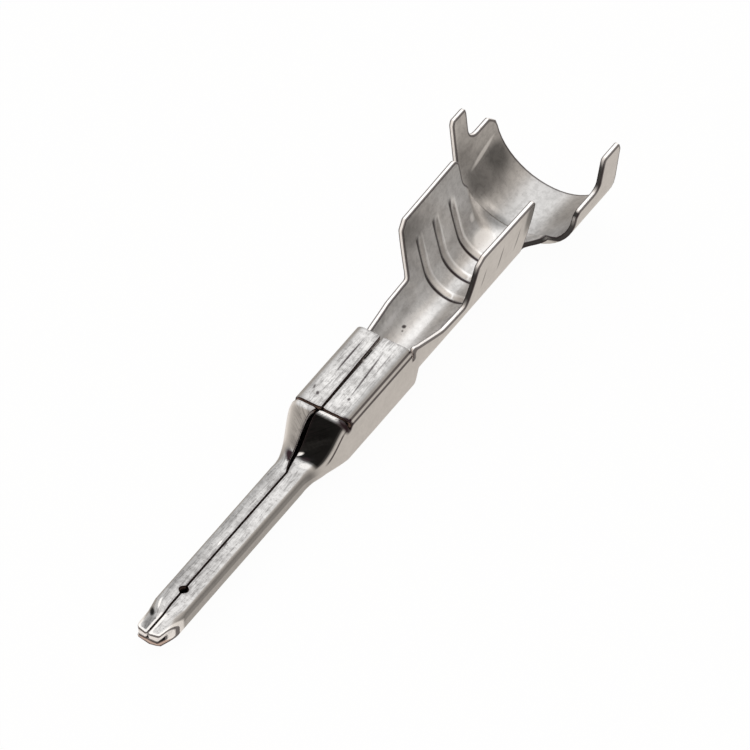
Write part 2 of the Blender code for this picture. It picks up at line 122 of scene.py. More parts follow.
@named
class ShoulderSizes(PropertyGroup):
    """The flaring part between the blade and the box."""
    length: size(1.70, "Length of the shoulder")
    flap_start: size(0.45, "Where the flaps begin to rise")
    level: size(0.15, "Level stretch in front of the slit")
    height: size(1.56, "Height at the slit")
    seam: size(0.12, "Gap between the flaps at the slit")
    seam_shift: size(-0.08, "Sideways place of the seam at the slit")
    seam_bulge: size(0.08, "Extra gap half-way along")
    seam_bow: size(-0.16, "Extra sideways place of the seam half-way along")
    bend_bulge: size(0.12, "Extra bend radius half-way along")
    flap_skew: share(1.6, "How late the flaps rise")


@named
class BoxSizes(PropertyGroup):
    """The closed box in the middle."""
    width: size(1.83, "Width of the box")
    height: size(1.59, "Height of the box")
    length: size(3.05, "Length of the box")
    corner: size(0.26, "Outer radius of the box's bends")
    seam_front: size(0.06, "Gap of the seam at the front")
    seam_rear: size(0.11, "Gap of the seam at the rear")
    shift_front: size(-0.02, "Sideways place of the seam at the front")
    shift_rear: size(-0.07, "Sideways place of the seam at the rear")
    front_slit: size(0.06, "Width of the slit at the shoulder")
    rear_slit: size(0.08, "Width of the slit behind the box")
    rear_slit_depth: size(0.40, "How far the rear slit goes down the wall")
    relief: size(0.24, "Diameter of the relief at the slit's corner")
    relief_drop: size(0.16, "How far the relief's centre lies below the top")


@named
class ChannelSizes(PropertyGroup):
    """The open channel behind the box."""
    length: size(2.60, "Length of the channel")
    rounding: size(0.25, "Length over which the floor becomes round")
    wall_height: size(1.07, "Height of the walls in front of the wire barrel")
    slope: size(1.40, "Length of the slope from the box")
    left_start: size(0.75, "Height of the left wall at the box")
    start_fillet: size(0.05, "Fillet at the start of the slope")
    slope_fillet: size(0.60, "Fillet at the end of the slope")


@named
class WireSizes(PropertyGroup):
    """The wire barrel."""
    length: size(2.75, "Length of the barrel")
    radius: size(0.95, "Outer radius of its floor")
    height: size(2.90, "Height of its wings")
    lean_front: angle(14.0, "Outward lean of the wings at the front")
    lean_rear: angle(15.0, "Outward lean of the wings at the rear")
    curl: angle(7.0, "How far a wing turns upright on its way up")
    chamfer: size(0.24, "Chamfer of the wings' front corner")
    rear_round: size(0.14, "Rounding of the wings' rear corner")
    foot_lead: size(0.16, "How much further forward the wings start at their foot")
    foot_fillet: size(0.12, "Fillet at the wings' foot")
    top_fillet: size(0.06, "Rounding of the chamfer's ends")
    grooves: IntProperty(description="Number of pressed grooves", default=3)
    first_groove: size(0.62, "Place of the first groove")
    groove_pitch: size(0.82, "Distance between grooves")
    groove_width: size(0.20, "Width of a groove")
    groove_depth: size(0.07, "Depth of a groove")
    groove_top: size(2.05, "Height at which the grooves end")


@named
class LinkSizes(PropertyGroup):
    """The strip between the barrels."""
    length: size(1.03, "Length of the strip between the barrels")
    flare: size(0.72, "Length over which it widens")
    step: size(0.08, "Length of the step down to the insulation barrel")
    wall_height: size(0.45, "Height of its walls")
    fillet: size(0.12, "Fillet at the foot of the wings beside it")
    left_reach: size(0.16, "How much further back the left wing of the wire barrel reaches")
    left_round: size(0.22, "Rounding of the left wing's rear corner")
    left_top: size(2.02, "Height at which the left wing begins to slope back")
    left_bottom: size(0.72, "Height of that slope at the insulation barrel")
    left_fillet: size(0.30, "Fillet at the start of that slope")


@named
class InsulationSizes(PropertyGroup):
    """The insulation barrel with its staggered prongs."""
    length: size(2.02, "Length of the barrel")
    radius: size(2.02, "Outer radius of its floor")
    drop: size(0.27, "How far it lies below the rest")
    lean: angle(6.8, "Outward lean of its walls")
    skew: angle(1.3, "How much further the right wall leans")
    prong_chamfer: size(0.09, "Chamfer of the prongs")
    prong_fillet: size(0.04, "Rounding of a prong's top corners")
    left_fillet: size(0.45, "Fillet between left prong and step")
    right_fillet: size(0.26, "Fillet between right prong and step")
    left_prong_start: size(0.03, "Place of the left prong")
    left_prong_length: size(0.66, "Length of the left prong")
    left_step: size(2.08, "Height of the left step")
    left_rear_chamfer: size(0.32, "Chamfer at the rear of the left step")
    right_prong_start: size(1.12, "Place of the right prong")
    right_prong_length: size(0.74, "Length of the right prong")
    right_step: size(2.05, "Height of the right step")
    right_front_chamfer: size(0.17, "Chamfer at the front of the right step")
    right_rear_taper: size(0.05, "Slant of the right wall's rear edge")


@named
class Finish(PropertyGroup):
    """Colours of the plating and of the sheared edges, of the painted highlights, and of dirt and painted
    shade.
    """
    tin: colour((0.62, 0.61, 0.60), "Bright tin plating")
    dull_tin: colour((0.27, 0.262, 0.257), "Tin plating where it is dull")
    # Colour of the painted highlights
    glint: colour((0.94, 0.93, 0.92), "Metal where it is polished by the bending")
    # Colour of dirt in scratches and pits, and of painted shade in corners, gaps, creases and grooves and
    # of painted dark reflections beside the edges
    tarnish: colour((0.025, 0.015, 0.018), "Dirt in scratches, grooves and corners")
    edge: colour((0.97, 0.96, 0.96), "Freshly sheared edge")
    brass: colour((0.40, 0.22, 0.14), "Bare metal on the sheared edge")


@named
class Studio(PropertyGroup):
    """Light of the stage."""
    overhead: share(1.55, "Brightness of the overhead panel")
    fill: share(0.86, "Brightness of the room")
    floor: share(0.78, "Brightness of the floor in reflections")
    warmth: colour((1.0, 0.925, 0.85), "Tint of the room and of the floor's reflection")


@named
class ContactSettings(PropertyGroup):
    """All the settings of the contact."""
    sheet: PointerProperty(type=SheetSizes)
    blade: PointerProperty(type=BladeSizes)
    shoulder: PointerProperty(type=ShoulderSizes)
    box: PointerProperty(type=BoxSizes)
    channel: PointerProperty(type=ChannelSizes)
    wire: PointerProperty(type=WireSizes)
    link: PointerProperty(type=LinkSizes)
    insulation: PointerProperty(type=InsulationSizes)
    finish: PointerProperty(type=Finish)
    studio: PointerProperty(type=Studio)


# Cells across one half of the strip, from the middle of the floor to the seam
CELLS = {"floor": 2, "bend": 12, "lower_wall": 10, "upper_wall": 14, "top_bend": 8, "flap": 7}
CELL_EDGES = np.cumsum([0, *CELLS.values()])
WALL_END_COLUMN = int(CELL_EDGES[4])
FLAP_COLUMN = int(CELL_EDGES[5])
LAST_COLUMN = int(CELL_EDGES[6])
FLOOR, WALL_TOP = 0, 7  # places of these heights in a section
QUARTER = math.pi / 2.0
TINY = 1e-9
LEAST_CURL = 1e-6
FAR = 1.0
TRIM_MARGIN = 0.30 * MM
FILLET_SHARE = 0.45  # the most of a corner's shorter side that its fillet takes
ARC_STEPS = 9
RIM_TURNS = np.radians([30.0, 60.0, 90.0])
BISECTIONS = 12
SNAP_SHARE = 0.27  # the part of a cell's edge within which a node moves onto the outline
LEFT_LEAN_SHARE = 0.3  # how much of the lean at the cut corners the left one has

# Flanks and end of a groove as shares of its width
FRONT_FLANK, REAR_FLANK, GROOVE_END = 0.28, 0.72, 1.15
# Length over which a groove fades as a share of its top's height, and where on it the top lies
GROOVE_FADE, GROOVE_RUNOUT = 0.35, 0.15

# Waves of the sheet: radians for each mm along and across it, and the phase
WAVES = ((1.8, 1.4, 0.3), (3.4, -2.2, 1.9), (5.8, 4.6, 4.1), (1.0, 6.2, 5.2))


def ease(value):
    """A smooth S curve from 0 to 1: the value squared times 3 - 2 x the value."""
    value = np.clip(value, 0.0, 1.0)
    return value * value * (3.0 - 2.0 * value)


def blend(first, second, part):
    """A value a part of the way from first to second: first + (second - first) x part."""
    return first + (second - first) * part


def follow(height, pieces):
    """Follow straight runs and arcs that turn left, from the middle of the floor.

    Each piece is (length, turn, share). After a share of a piece with radius r = length / turn the
    path has moved r sin(turn share) along its heading and r (1 - cos(turn share)) to the left.
    """
    x = np.zeros_like(height)
    z = height.copy()
    heading = np.zeros_like(height)
    for length, turn, part in pieces:
        turn = np.maximum(turn, TINY)
        radius = length / turn
        along = radius * np.sin(turn * part)
        across = radius * (1.0 - np.cos(turn * part))
        x = x + along * np.cos(heading) - across * np.sin(heading)
        z = z + along * np.sin(heading) + across * np.cos(heading)
        heading = heading + turn
    return x, z


def fillet(corners):
    """Points of an open outline whose corners (y, z, radius) are rounded by arcs."""
    points = [Vector(corners[0][:2])]
    for before, corner, after in zip(corners, corners[1:], corners[2:]):
        tip, radius = Vector(corner[:2]), corner[2]
        if radius <= 0.0:
            points.append(tip)
            continue
        sides = [Vector(other[:2]) - tip for other in (before, after)]
        to_before, to_after = [side.normalized() for side in sides]
        half = to_before.angle(to_after) / 2.0
        radius = min(radius, FILLET_SHARE * min(side.length for side in sides) * math.tan(half))
        centre = tip + (to_before + to_after).normalized() * radius / math.sin(half)
        start = tip + to_before * radius / math.tan(half) - centre
        sweep = (math.pi - 2.0 * half) * math.copysign(1.0, to_before.cross(to_after))
        for step in range(ARC_STEPS + 1):
            points.append(centre + Matrix.Rotation(-sweep * step / ARC_STEPS, 2) @ start)
    points.append(Vector(corners[-1][:2]))
    return np.array([(point.x, point.y) for point in points])


def below_outline(outline, y, z):
    """Distance below an outline seen from the side, negative above it.

    The distance is the least one to any segment, and its sign comes from how often a level ray
    crosses the outline, closed far above.
    """
    ceiling = 4.0 * HEIGHT
    closed = np.vstack([outline, [(outline[-1][0], ceiling), (outline[0][0], ceiling), outline[0]]])
    nearest = np.full(y.shape, FAR)
    crossings = np.zeros(y.shape, dtype=int)
    for index, ((y0, z0), (y1, z1)) in enumerate(zip(closed, closed[1:])):
        dy, dz = y1 - y0, z1 - z0
        if index < len(outline) - 1:
            part = np.clip(((y - y0) * dy + (z - z0) * dz) / (dy * dy + dz * dz), 0.0, 1.0)
            nearest = np.minimum(nearest, np.hypot(y - y0 - part * dy, z - z0 - part * dz))
        if z0 != z1:
            reached = y0 + (z - z0) * dy / dz
            crossings += ((z0 > z) != (z1 > z)) & (y < reached)
    return np.where(crossings % 2 == 1, -nearest, nearest)


class Strip:
    """The blanked strip and the way it is folded.

    A point of the strip is (along, column): along is the distance from the tip, and column counts
    cells from the middle of the floor to the seam, negative on the left.
    """

    def __init__(self, contact):
        self.sheet, self.blade, self.shoulder, self.box = (
            contact.sheet, contact.blade, contact.shoulder, contact.box)
        self.channel, self.wire, self.link, self.insulation = (
            contact.channel, contact.wire, contact.link, contact.insulation)
        box, link = self.box, self.link
        self.floor = self.insulation.drop
        (self.shoulder_front, self.shoulder_rear, self.box_front, self.box_rear, self.channel_front,
         self.wire_front, self.wire_rear, self.insulation_front, self.end) = np.cumsum([
             self.blade.length, self.shoulder.length, box.front_slit, box.length, box.rear_slit,
             self.channel.length, self.wire.length, link.length, self.insulation.length])
        self.flare_end = self.insulation_front - link.step
        self.flare_start = self.flare_end - link.flare
        self.front_slit_middle = self.shoulder_rear + box.front_slit / 2.0
        self.rear_slit_middle = self.channel_front - box.rear_slit / 2.0
        self.wall_limit = HEIGHT + TRIM_MARGIN
        self.keys = self.key_sections()
        self.outlines = {-1.0: fillet(self.left_outline()), 1.0: fillet(self.right_outline())}

    def closed_section(self, width, height, corner, seam, floor, mark=None, shift=0.0, top=None):
        """A folded tube with its seam on top, shifted sideways where the flaps are unequal."""
        top = corner if top is None else top
        wall_top = floor + height - top
        mark = (floor + corner + wall_top) / 2.0 if mark is None else mark
        return np.array([
            floor, width / 2.0 - corner, corner, 0.0, 0.0, 0.0, mark, wall_top, top, seam / 2.0, shift])

    def open_section(self, floor, radius, mark, lean=0.0, curl=0.0, skew=0.0):
        """An open trough with a round floor and leaning walls."""
        return np.array([
            floor, 0.0, radius, lean, skew, curl, mark, self.wall_limit, self.box.corner,
            self.box.seam_rear / 2.0, 0.0])

    def key_sections(self):
        """Key sections along the strip: (station, section, whether the blend up to it is eased)."""
        floor, blade, box, wire, insulation = self.floor, self.blade, self.box, self.wire, self.insulation
        rear_mark = floor + box.height - box.rear_slit_depth
        groove_mark = floor + wire.groove_top
        tip = self.closed_section(
            blade.width, blade.tip_height, blade.corner, blade.seam, floor + blade.tip_floor_rise,
            shift=blade.tip_shift)
        tip_rear = self.closed_section(
            blade.width, blade.tip_rear_height, blade.corner, blade.seam, floor, top=blade.tip_rounding)
        full_blade = self.closed_section(blade.width, blade.height, blade.corner, blade.seam, floor)
        box_start, box_end = [
            self.closed_section(box.width, box.height, box.corner, seam, floor, rear_mark, shift)
            for seam, shift in ((box.seam_front, box.shift_front), (box.seam_rear, box.shift_rear))]
        channel_start = box_end.copy()
        channel_start[WALL_TOP] = self.wall_limit
        channel = self.open_section(floor, wire.radius, rear_mark)
        wire_start, wire_end = [
            self.open_section(floor, wire.radius, groove_mark, lean, wire.curl)
            for lean in (wire.lean_front, wire.lean_rear)]
        barrel = self.open_section(
            0.0, insulation.radius, groove_mark, insulation.lean, skew=insulation.skew)
        raised = barrel.copy()
        raised[FLOOR] = floor
        return [
            (0.0, tip, False), (blade.tip_length, tip_rear, False),
            (blade.tip_length + blade.tip_rounding_length, full_blade, False),
            (self.shoulder_front, full_blade, False), (self.box_front, box_start, False),
            (self.box_rear, box_end, False), (self.channel_front, channel_start, False),
            (self.channel_front + self.channel.rounding, channel, True),
            (self.wire_front, wire_start, True), (self.wire_rear, wire_end, False),
            (self.flare_start, wire_end, False), (self.flare_end, raised, True),
            (self.insulation_front, barrel, False), (self.end, barrel, False)]

    def shoulder_sections(self, along):
        """The shoulder widens over its whole length, and its flaps rise and part in its later half.

        A bulge of 4 part (1 - part) is 0 at both ends and 1 half-way along.
        """
        blade, shoulder, box = self.blade, self.shoulder, self.box
        part = (along - self.shoulder_front) / shoulder.length
        rise_length = shoulder.length - shoulder.flap_start - shoulder.level
        rise_part = np.clip((part * shoulder.length - shoulder.flap_start) / rise_length, 0.0, 1.0)
        wide = ease(part)
        bulge = np.clip(4.0 * part * (1.0 - part), 0.0, 1.0)
        width = blend(blade.width, box.width, wide)
        height = blend(blade.height, shoulder.height, ease(rise_part ** shoulder.flap_skew))
        corner = blend(blade.corner, box.corner, wide) + shoulder.bend_bulge * bulge
        corner = np.minimum(corner, (height - self.sheet.stock) / 2.0)
        seam = blend(blade.seam, shoulder.seam, wide) + shoulder.seam_bulge * bulge
        zero = np.zeros_like(part)
        return np.stack([
            zero + self.floor, width / 2.0 - corner, corner, zero, zero, zero,
            self.floor + height / 2.0, self.floor + height - corner, corner, seam / 2.0,
            shoulder.seam_shift * wide + shoulder.seam_bow * bulge], axis=-1)

    def sections(self, along):
        """The section at each point, blended between the key sections on either side of it."""
        rows = np.tile(self.keys[-1][1], along.shape + (1,))
        for (start, first, _), (end, second, eased) in zip(self.keys, self.keys[1:]):
            inside = (along >= start) & (along <= end)
            part = (along[inside] - start) / (end - start)
            if eased:
                part = ease(part)
            rows[inside] = blend(first, second, part[:, None])
        rows[along < 0.0] = self.keys[0][1]
        on_shoulder = (along > self.shoulder_front) & (along < self.box_front)
        rows[on_shoulder] = self.shoulder_sections(np.minimum(along[on_shoulder], self.shoulder_rear))
        return rows

    def groove_fronts(self):
        """Places along the strip where the pressed grooves begin."""
        wire = self.wire
        first = self.wire_front + wire.first_groove - wire.groove_width / 2.0
        return [first + index * wire.groove_pitch for index in range(wire.grooves)]

    def grooves(self, along, height):
        """Depth of the pressed grooves: a steep front flank, a narrow bottom and a gentle rear flank.

        They fade out below their top.
        """
        depth = np.zeros_like(along)
        for front in self.groove_fronts():
            place = (along - front) / self.wire.groove_width
            flanks = np.minimum(ease(place / FRONT_FLANK), ease((GROOVE_END - place) / REAR_FLANK))
            depth = np.maximum(depth, flanks)
        return self.wire.groove_depth * depth * self.groove_fade(height)

    def groove_fade(self, height):
        """1 where the grooves are deep, falling to 0 at their top."""
        top = self.wire.groove_top
        return ease((self.floor + top - height) / (GROOVE_FADE * top) + GROOVE_RUNOUT)

    def fold(self, along, column):
        """Outer and inner skin of the folded strip, and distances measured on its middle surface.

        A half section is floor, bend, wall, top bend and flap. A wall that curls on its way up is
        an arc, as long as its rise x curl / (cos foot - cos (foot + curl)), with its heading at
        the foot. The inner skin follows the same pieces, shortened or lengthened by the stock.
        """
        side = np.where(column < 0.0, -1.0, 1.0)
        parts = [
            np.clip((np.abs(column) - start) / (end - start), 0.0, 1.0)
            for start, end in zip(CELL_EDGES, CELL_EDGES[1:])]
        (floor, half_floor, bend, lean, skew, curl, mark, wall_top, top_bend, half_seam,
         seam_shift) = np.moveaxis(self.sections(along), -1, 0)
        stock, inner_fillet = self.sheet.stock, self.sheet.inner_fillet
        turn = QUARTER - lean - skew * side
        inner_bend = np.maximum(bend - stock, inner_fillet)
        inner_top = np.maximum(top_bend - stock, inner_fillet)
        low_take = (bend - stock - inner_bend) * np.tan(turn / 2.0)
        top_take = top_bend - stock - inner_top
        wall_start = floor + bend * (1.0 - np.cos(turn))
        bent = np.maximum(curl, LEAST_CURL)
        wall = (wall_top - wall_start) * bent / (np.cos(turn) - np.cos(turn + bent))
        inner_wall = wall - stock * curl + low_take + top_take
        mark_part = (mark - wall_start) / (wall_top - wall_start)
        on_wall = parts[2] * mark_part + parts[3] * (1.0 - mark_part)
        flap = half_floor + bend - top_bend - half_seam - seam_shift * side
        straight = np.zeros_like(turn)
        quarter = np.full_like(turn, QUARTER)
        outer = follow(floor, [
            (half_floor, straight, parts[0]), (bend * turn, turn, parts[1]), (wall, curl, on_wall),
            (top_bend * QUARTER, quarter, parts[4]), (flap, straight, parts[5])])
        inner = follow(floor + stock, [
            (half_floor + low_take, straight, parts[0]), (inner_bend * turn, turn, parts[1]),
            (inner_wall, curl, on_wall), (inner_top * QUARTER, quarter, parts[4]),
            (flap + top_take, straight, parts[5])])
        y = along - self.end / 2.0
        outer, inner = [np.stack([x * side, y, z], axis=-1) for x, z in (outer, inner)]
        lengths = [half_floor, (bend - stock / 2.0) * turn, wall * mark_part, wall * (1.0 - mark_part),
                   (top_bend - stock / 2.0) * QUARTER, flap]
        run = sum(length * part for length, part in zip(lengths, parts))
        return outer, inner, {
            "side": side, "across": run * side, "past_mark": run - sum(lengths[:3]),
            "past_wall": run - sum(lengths[:4]), "to_seam": sum(lengths) - run}

    def front_outline(self, channel_start):
        """Side view of a wall's top from the box to its wing, by the channel's height at the box."""
        channel, wire, floor = self.channel, self.wire, self.floor
        channel_top, wing_top = floor + channel.wall_height, floor + wire.height
        return [
            (self.rear_slit_middle, floor + self.box.height + TRIM_MARGIN, 0.0),
            (self.rear_slit_middle, floor + channel_start, channel.start_fillet),
            (self.channel_front + channel.slope, channel_top, channel.slope_fillet),
            (self.wire_front - wire.foot_lead, channel_top, wire.foot_fillet),
            (self.wire_front, wing_top - wire.chamfer, wire.top_fillet),
            (self.wire_front + wire.chamfer, wing_top, wire.top_fillet)]

    def left_outline(self):
        """Side view of the left wall: a prong at the front of the insulation barrel, then a low step."""
        insulation, link, floor, front = self.insulation, self.link, self.floor, self.insulation_front
        wing_rear = self.wire_rear + link.left_reach
        prong_front = front + insulation.left_prong_start
        prong_rear = prong_front + insulation.left_prong_length
        chamfer, round_corner = insulation.prong_chamfer, insulation.prong_fillet
        step, rear_chamfer = insulation.left_step, insulation.left_rear_chamfer
        return self.front_outline(self.channel.left_start) + [
            (wing_rear, floor + self.wire.height, link.left_round),
            (wing_rear, floor + link.left_top, link.left_fillet),
            (front, floor + link.left_bottom, link.fillet),
            (prong_front, HEIGHT - chamfer, round_corner),
            (prong_front + chamfer, HEIGHT, round_corner),
            (prong_rear, HEIGHT, chamfer),
            (prong_rear, step, insulation.left_fillet),
            (self.end - rear_chamfer, step, chamfer),
            (self.end, step - rear_chamfer, 0.0),
            (self.end + TRIM_MARGIN, step - rear_chamfer, 0.0)]

    def right_outline(self):
        """Side view of the right wall: a low step first, then a prong at the rear of the barrel."""
        insulation, link, floor, front = self.insulation, self.link, self.floor, self.insulation_front
        prong_front = front + insulation.right_prong_start
        prong_rear = prong_front + insulation.right_prong_length
        step, front_chamfer = insulation.right_step, insulation.right_front_chamfer
        round_corner, inner_corner = insulation.prong_fillet, insulation.right_fillet
        return self.front_outline(self.box.height) + [
            (self.wire_rear, floor + self.wire.height, self.wire.rear_round),
            (self.wire_rear, floor + link.wall_height, link.fillet),
            (front, floor + link.wall_height, link.fillet),
            (front, step - front_chamfer, round_corner),
            (front + front_chamfer, step, round_corner),
            (prong_front, step, inner_corner),
            (prong_front, HEIGHT, insulation.prong_chamfer),
            (prong_rear, HEIGHT, round_corner),
            (self.end - insulation.right_rear_taper, HEIGHT - inner_corner, inner_corner),
            (self.end, HEIGHT / 2.0, 0.0),
            (self.end + TRIM_MARGIN, HEIGHT / 2.0, 0.0)]

    def inside(self, along, column):
        """Distance inside the blank's outline, negative in its voids.

        It is the least of the distances to the ends, the cut corners, the seam, the slits, the
        hole, the reliefs and the outline of either wall.
        """
        blade, box = self.blade, self.box
        outer, inner, run = self.fold(along, column)
        middle = (outer + inner) / 2.0
        height = middle[..., 2]
        distance = np.minimum(along, self.end - along)
        distance = np.minimum(distance, self.cut_corner(along, middle[..., 0])[0])
        on_top = np.abs(column) >= WALL_END_COLUMN
        closed = along < self.rear_slit_middle
        distance = np.minimum(distance, np.where(closed, run["to_seam"], FAR))
        distance = np.where(on_top, np.minimum(distance, self.box_rear - along), distance)
        for slit, width, past in (
                (self.front_slit_middle, box.front_slit, run["past_wall"]),
                (self.rear_slit_middle, box.rear_slit, run["past_mark"])):
            distance = np.minimum(distance, np.maximum(np.abs(along - slit) - width / 2.0, -past))
        hole = np.hypot(middle[..., 0], along - blade.hole_from_tip) - blade.hole / 2.0
        distance = np.where(on_top, np.minimum(distance, hole), distance)
        bend_left = np.clip((FLAP_COLUMN - np.abs(column)) / CELLS["top_bend"], 0.0, 1.0)
        relief_height = self.floor + box.height - box.relief_drop
        relief = np.hypot(along - self.front_slit_middle, height - relief_height)
        distance = np.minimum(distance, relief - box.relief / 2.0 * bend_left)
        past_box = (along > self.box_rear - 2.0 * box.rear_slit) & ~on_top
        for side, outline in self.outlines.items():
            trimmed = past_box & (run["side"] == side)
            distance[trimmed] = np.minimum(
                distance[trimmed], below_outline(outline, along[trimmed], height[trimmed]))
        return distance

    def cut_corner(self, along, x):
        """Distance inside the straight cuts that take both corners off the tip, and their slope."""
        blade = self.blade
        front = blade.tip_width / 2.0 + blade.tip_shift * np.sign(x)
        slope = (blade.width / 2.0 - front) / blade.tip_length
        return (front + slope * along - np.abs(x)) / np.hypot(1.0, slope), slope

    def tip_lean(self, along, column):
        """How much further back the outer skin ends than the sheet's middle at the cut corners.

        The cuts go straight down through a wall that stands upright, so this is the outer skin's
        extra half width over the slope of the cut. It fades out between one and three tip lengths.
        """
        outer, inner, _ = self.fold(along, column)
        extra = (np.abs(outer[..., 0]) - np.abs(inner[..., 0])) / 2.0
        slope = self.cut_corner(along, outer[..., 0])[1]
        length = self.blade.tip_length
        fade = ease((3.0 * length - along) / (2.0 * length))
        fade = fade * np.where(column < 0.0, LEFT_LEAN_SHARE, 1.0)
        return np.where(along < self.shoulder_front, extra / slope * fade, 0.0)

    def tip_squeeze(self, along):
        """How much nearer the inner skins of floor and flaps are at the tip, fading out behind it."""
        return self.blade.tip_squeeze * ease(1.0 - along / self.blade.tip_length)

    def rounding(self, along, column):
        """Radius of a sheared edge: small beside the seam and at the tip, larger on the walls."""
        small = (np.abs(column) > WALL_END_COLUMN) | (along < self.blade.tip_length)
        return np.where(small, self.sheet.seam_round, self.sheet.edge_round)


def spaced(stops):
    """Even stations between stops, each of which is (station, spacing up to the next stop)."""
    runs = []
    for (start, spacing), (end, _) in zip(stops, stops[1:]):
        count = max(1, round((end - start) / spacing))
        runs.append(np.linspace(start, end, count, endpoint=False))
    return np.append(np.concatenate(runs), stops[-1][0])


def stations(strip):
    """Rows of the grid, close together where the form changes fast."""
    fine, medium, coarse = 0.034 * MM, 0.055 * MM, 0.09 * MM
    near_hole, near_slit = 0.25 * MM, 0.10 * MM
    hole = strip.blade.hole_from_tip
    return spaced([
        (0.0, fine), (strip.blade.tip_length, medium), (hole - near_hole, fine),
        (hole + near_hole, coarse), (strip.shoulder_front, medium),
        (strip.shoulder_rear - near_slit, fine), (strip.shoulder_rear, strip.box.front_slit / 2.0),
        (strip.box_front, fine), (strip.box_front + near_slit, coarse),
        (strip.box_rear - near_slit, fine), (strip.box_rear, strip.box.rear_slit / 2.0),
        (strip.channel_front, fine), (strip.channel_front + 2.0 * near_slit, medium),
        (strip.wire_front - near_slit, fine), (strip.wire_rear + near_slit, medium),
        (strip.flare_end, fine), (strip.insulation_front + 2.0 * near_slit, medium),
        (strip.end - near_slit, fine), (strip.end, fine)])


def edge_crossings(distance, points, first, second):
    """Where the outline crosses the grid edges between two nodes, by halving the edge again and again."""
    low = np.zeros(len(first))
    high = np.ones(len(first))
    start, end = points[first], points[second]
    starts_inside = distance(start) > 0.0
    for _ in range(BISECTIONS):
        part = (low + high) / 2.0
        same = (distance(start + (end - start) * part[:, None]) > 0.0) == starts_inside
        low = np.where(same, part, low)
        high = np.where(same, high, part)
    return (low + high) / 2.0


def trim_grid(distance, points, rows, columns):
    """Cut a grid of points along the zero line of a distance.

    Nodes next to the line move onto it. Every other crossed grid edge gets a new point there, and
    a cell keeps the polygon of its inner nodes and crossings. Returns the points, the corners of
    all polygons in a row and the number of corners of each.
    """
    number = np.arange(rows * columns).reshape(rows, columns)
    value = distance(points)
    pairs = np.concatenate([
        np.stack([number[:-1].ravel(), number[1:].ravel()], axis=1),
        np.stack([number[:, :-1].ravel(), number[:, 1:].ravel()], axis=1)])
    crossed = value[pairs[:, 0]] * value[pairs[:, 1]] < 0.0
    first, second = pairs[crossed].T
    part = edge_crossings(distance, points, first, second)
    places = points[first] + (points[second] - points[first]) * part[:, None]

    nodes = np.concatenate([first, second])
    nearness = np.concatenate([part, 1.0 - part])
    moves = np.concatenate([places, places])
    order = np.argsort(-nearness)
    order = order[nearness[order] < SNAP_SHARE]
    points = points.copy()
    points[nodes[order]] = moves[order]
    value[nodes[order]] = 0.0

    still = value[first] * value[second] < 0.0
    crossing = np.full(len(pairs), -1)
    crossing[np.flatnonzero(crossed)[still]] = len(points) + np.arange(int(still.sum()))
    points = np.concatenate([points, places[still]])
    along_edges = crossing[:(rows - 1) * columns].reshape(rows - 1, columns)
    across_edges = crossing[(rows - 1) * columns:].reshape(rows, columns - 1)

    kept = np.where(value.reshape(rows, columns) >= 0.0, number, -1)
    ring = np.stack([
        kept[:-1, :-1], along_edges[:, :-1], kept[1:, :-1], across_edges[1:],
        kept[1:, 1:], along_edges[:, 1:], kept[:-1, 1:], across_edges[:-1]], axis=-1).reshape(-1, 8)
    positive = (value > 0.0).reshape(rows, columns)
    has_metal = (positive[:-1, :-1] | positive[1:, :-1] | positive[1:, 1:] | positive[:-1, 1:]).ravel()
    counts = (ring >= 0).sum(axis=1)
    whole = has_metal & (counts >= 3)
    ring = ring[whole]
    return points, ring[ring >= 0], counts[whole]


def boundary_edges(corners, counts, total):
    """Directed edges that only one polygon has."""
    starts = np.repeat(np.cumsum(counts) - counts, counts)
    place = np.arange(len(corners)) - starts
    following = starts + (place + 1) % np.repeat(counts, counts)
    ends = corners[following]
    forward = corners * total + ends
    backward = ends * total + corners
    lone = ~np.isin(forward, backward)
    return corners[lone], ends[lone]


def normalised(vectors):
    """Vectors scaled to length 1."""
    return vectors / np.maximum(np.linalg.norm(vectors, axis=-1, keepdims=True), TINY)


def waves(sheet, along, across):
    """Faint waves of the sheet: the mean of slow sines along and across it."""
    sines = [
        np.sin((rate_along * along + rate_across * across) / MM + phase)
        for rate_along, rate_across, phase in WAVES]
    return sheet.waviness * sum(sines) / len(WAVES)


# Painted light and shade on the plating: dark reflections in the bends and on the right flap,
# bright reflections, and shade inside the insulation barrel. Skin (0 outer, 0.5 sheared edge,
# 1 inner), from and to along the strip (mm), from and to column, blur along (mm) and across
# (columns), and the tone, where 1 is plain tin
LIGHT_AND_SHADE_BANDS = (
    (0, 0.9, 6.8, 45, 54, 0.6, 4, 0.90),
    (0, 0.9, 6.8, -54, -45, 0.6, 4, 0.86),
    (0, 0.2, 7.2, 27, 43, 0.5, 6, 0.36),
    (0, 0.2, 7.2, 8, 27, 0.5, 8, 0.66),
    (0, 0.5, 7.3, -48, -36, 0.5, 5, 0.60),
    (0, 7.22, 8.22, 41.5, 54, 0.16, 1.5, 0.02),
    (0, 8.24, 8.40, 42.5, 54, 0.05, 2, 1.40),
    (0, 7.35, 8.2, -53, -43, 0.3, 4, 0.78),
    (0, 7.5, 8.3, -43, -35, 0.3, 4, 1.25),
    (0, 8.42, 11.45, -46, -38, 0.04, 3, 0.60),
    (0, 8.42, 11.45, 41.5, 46, 0.04, 2, 0.60),
    (1, 18.05, 20.0, -54, 54, 0.25, 4, 0.80),
)
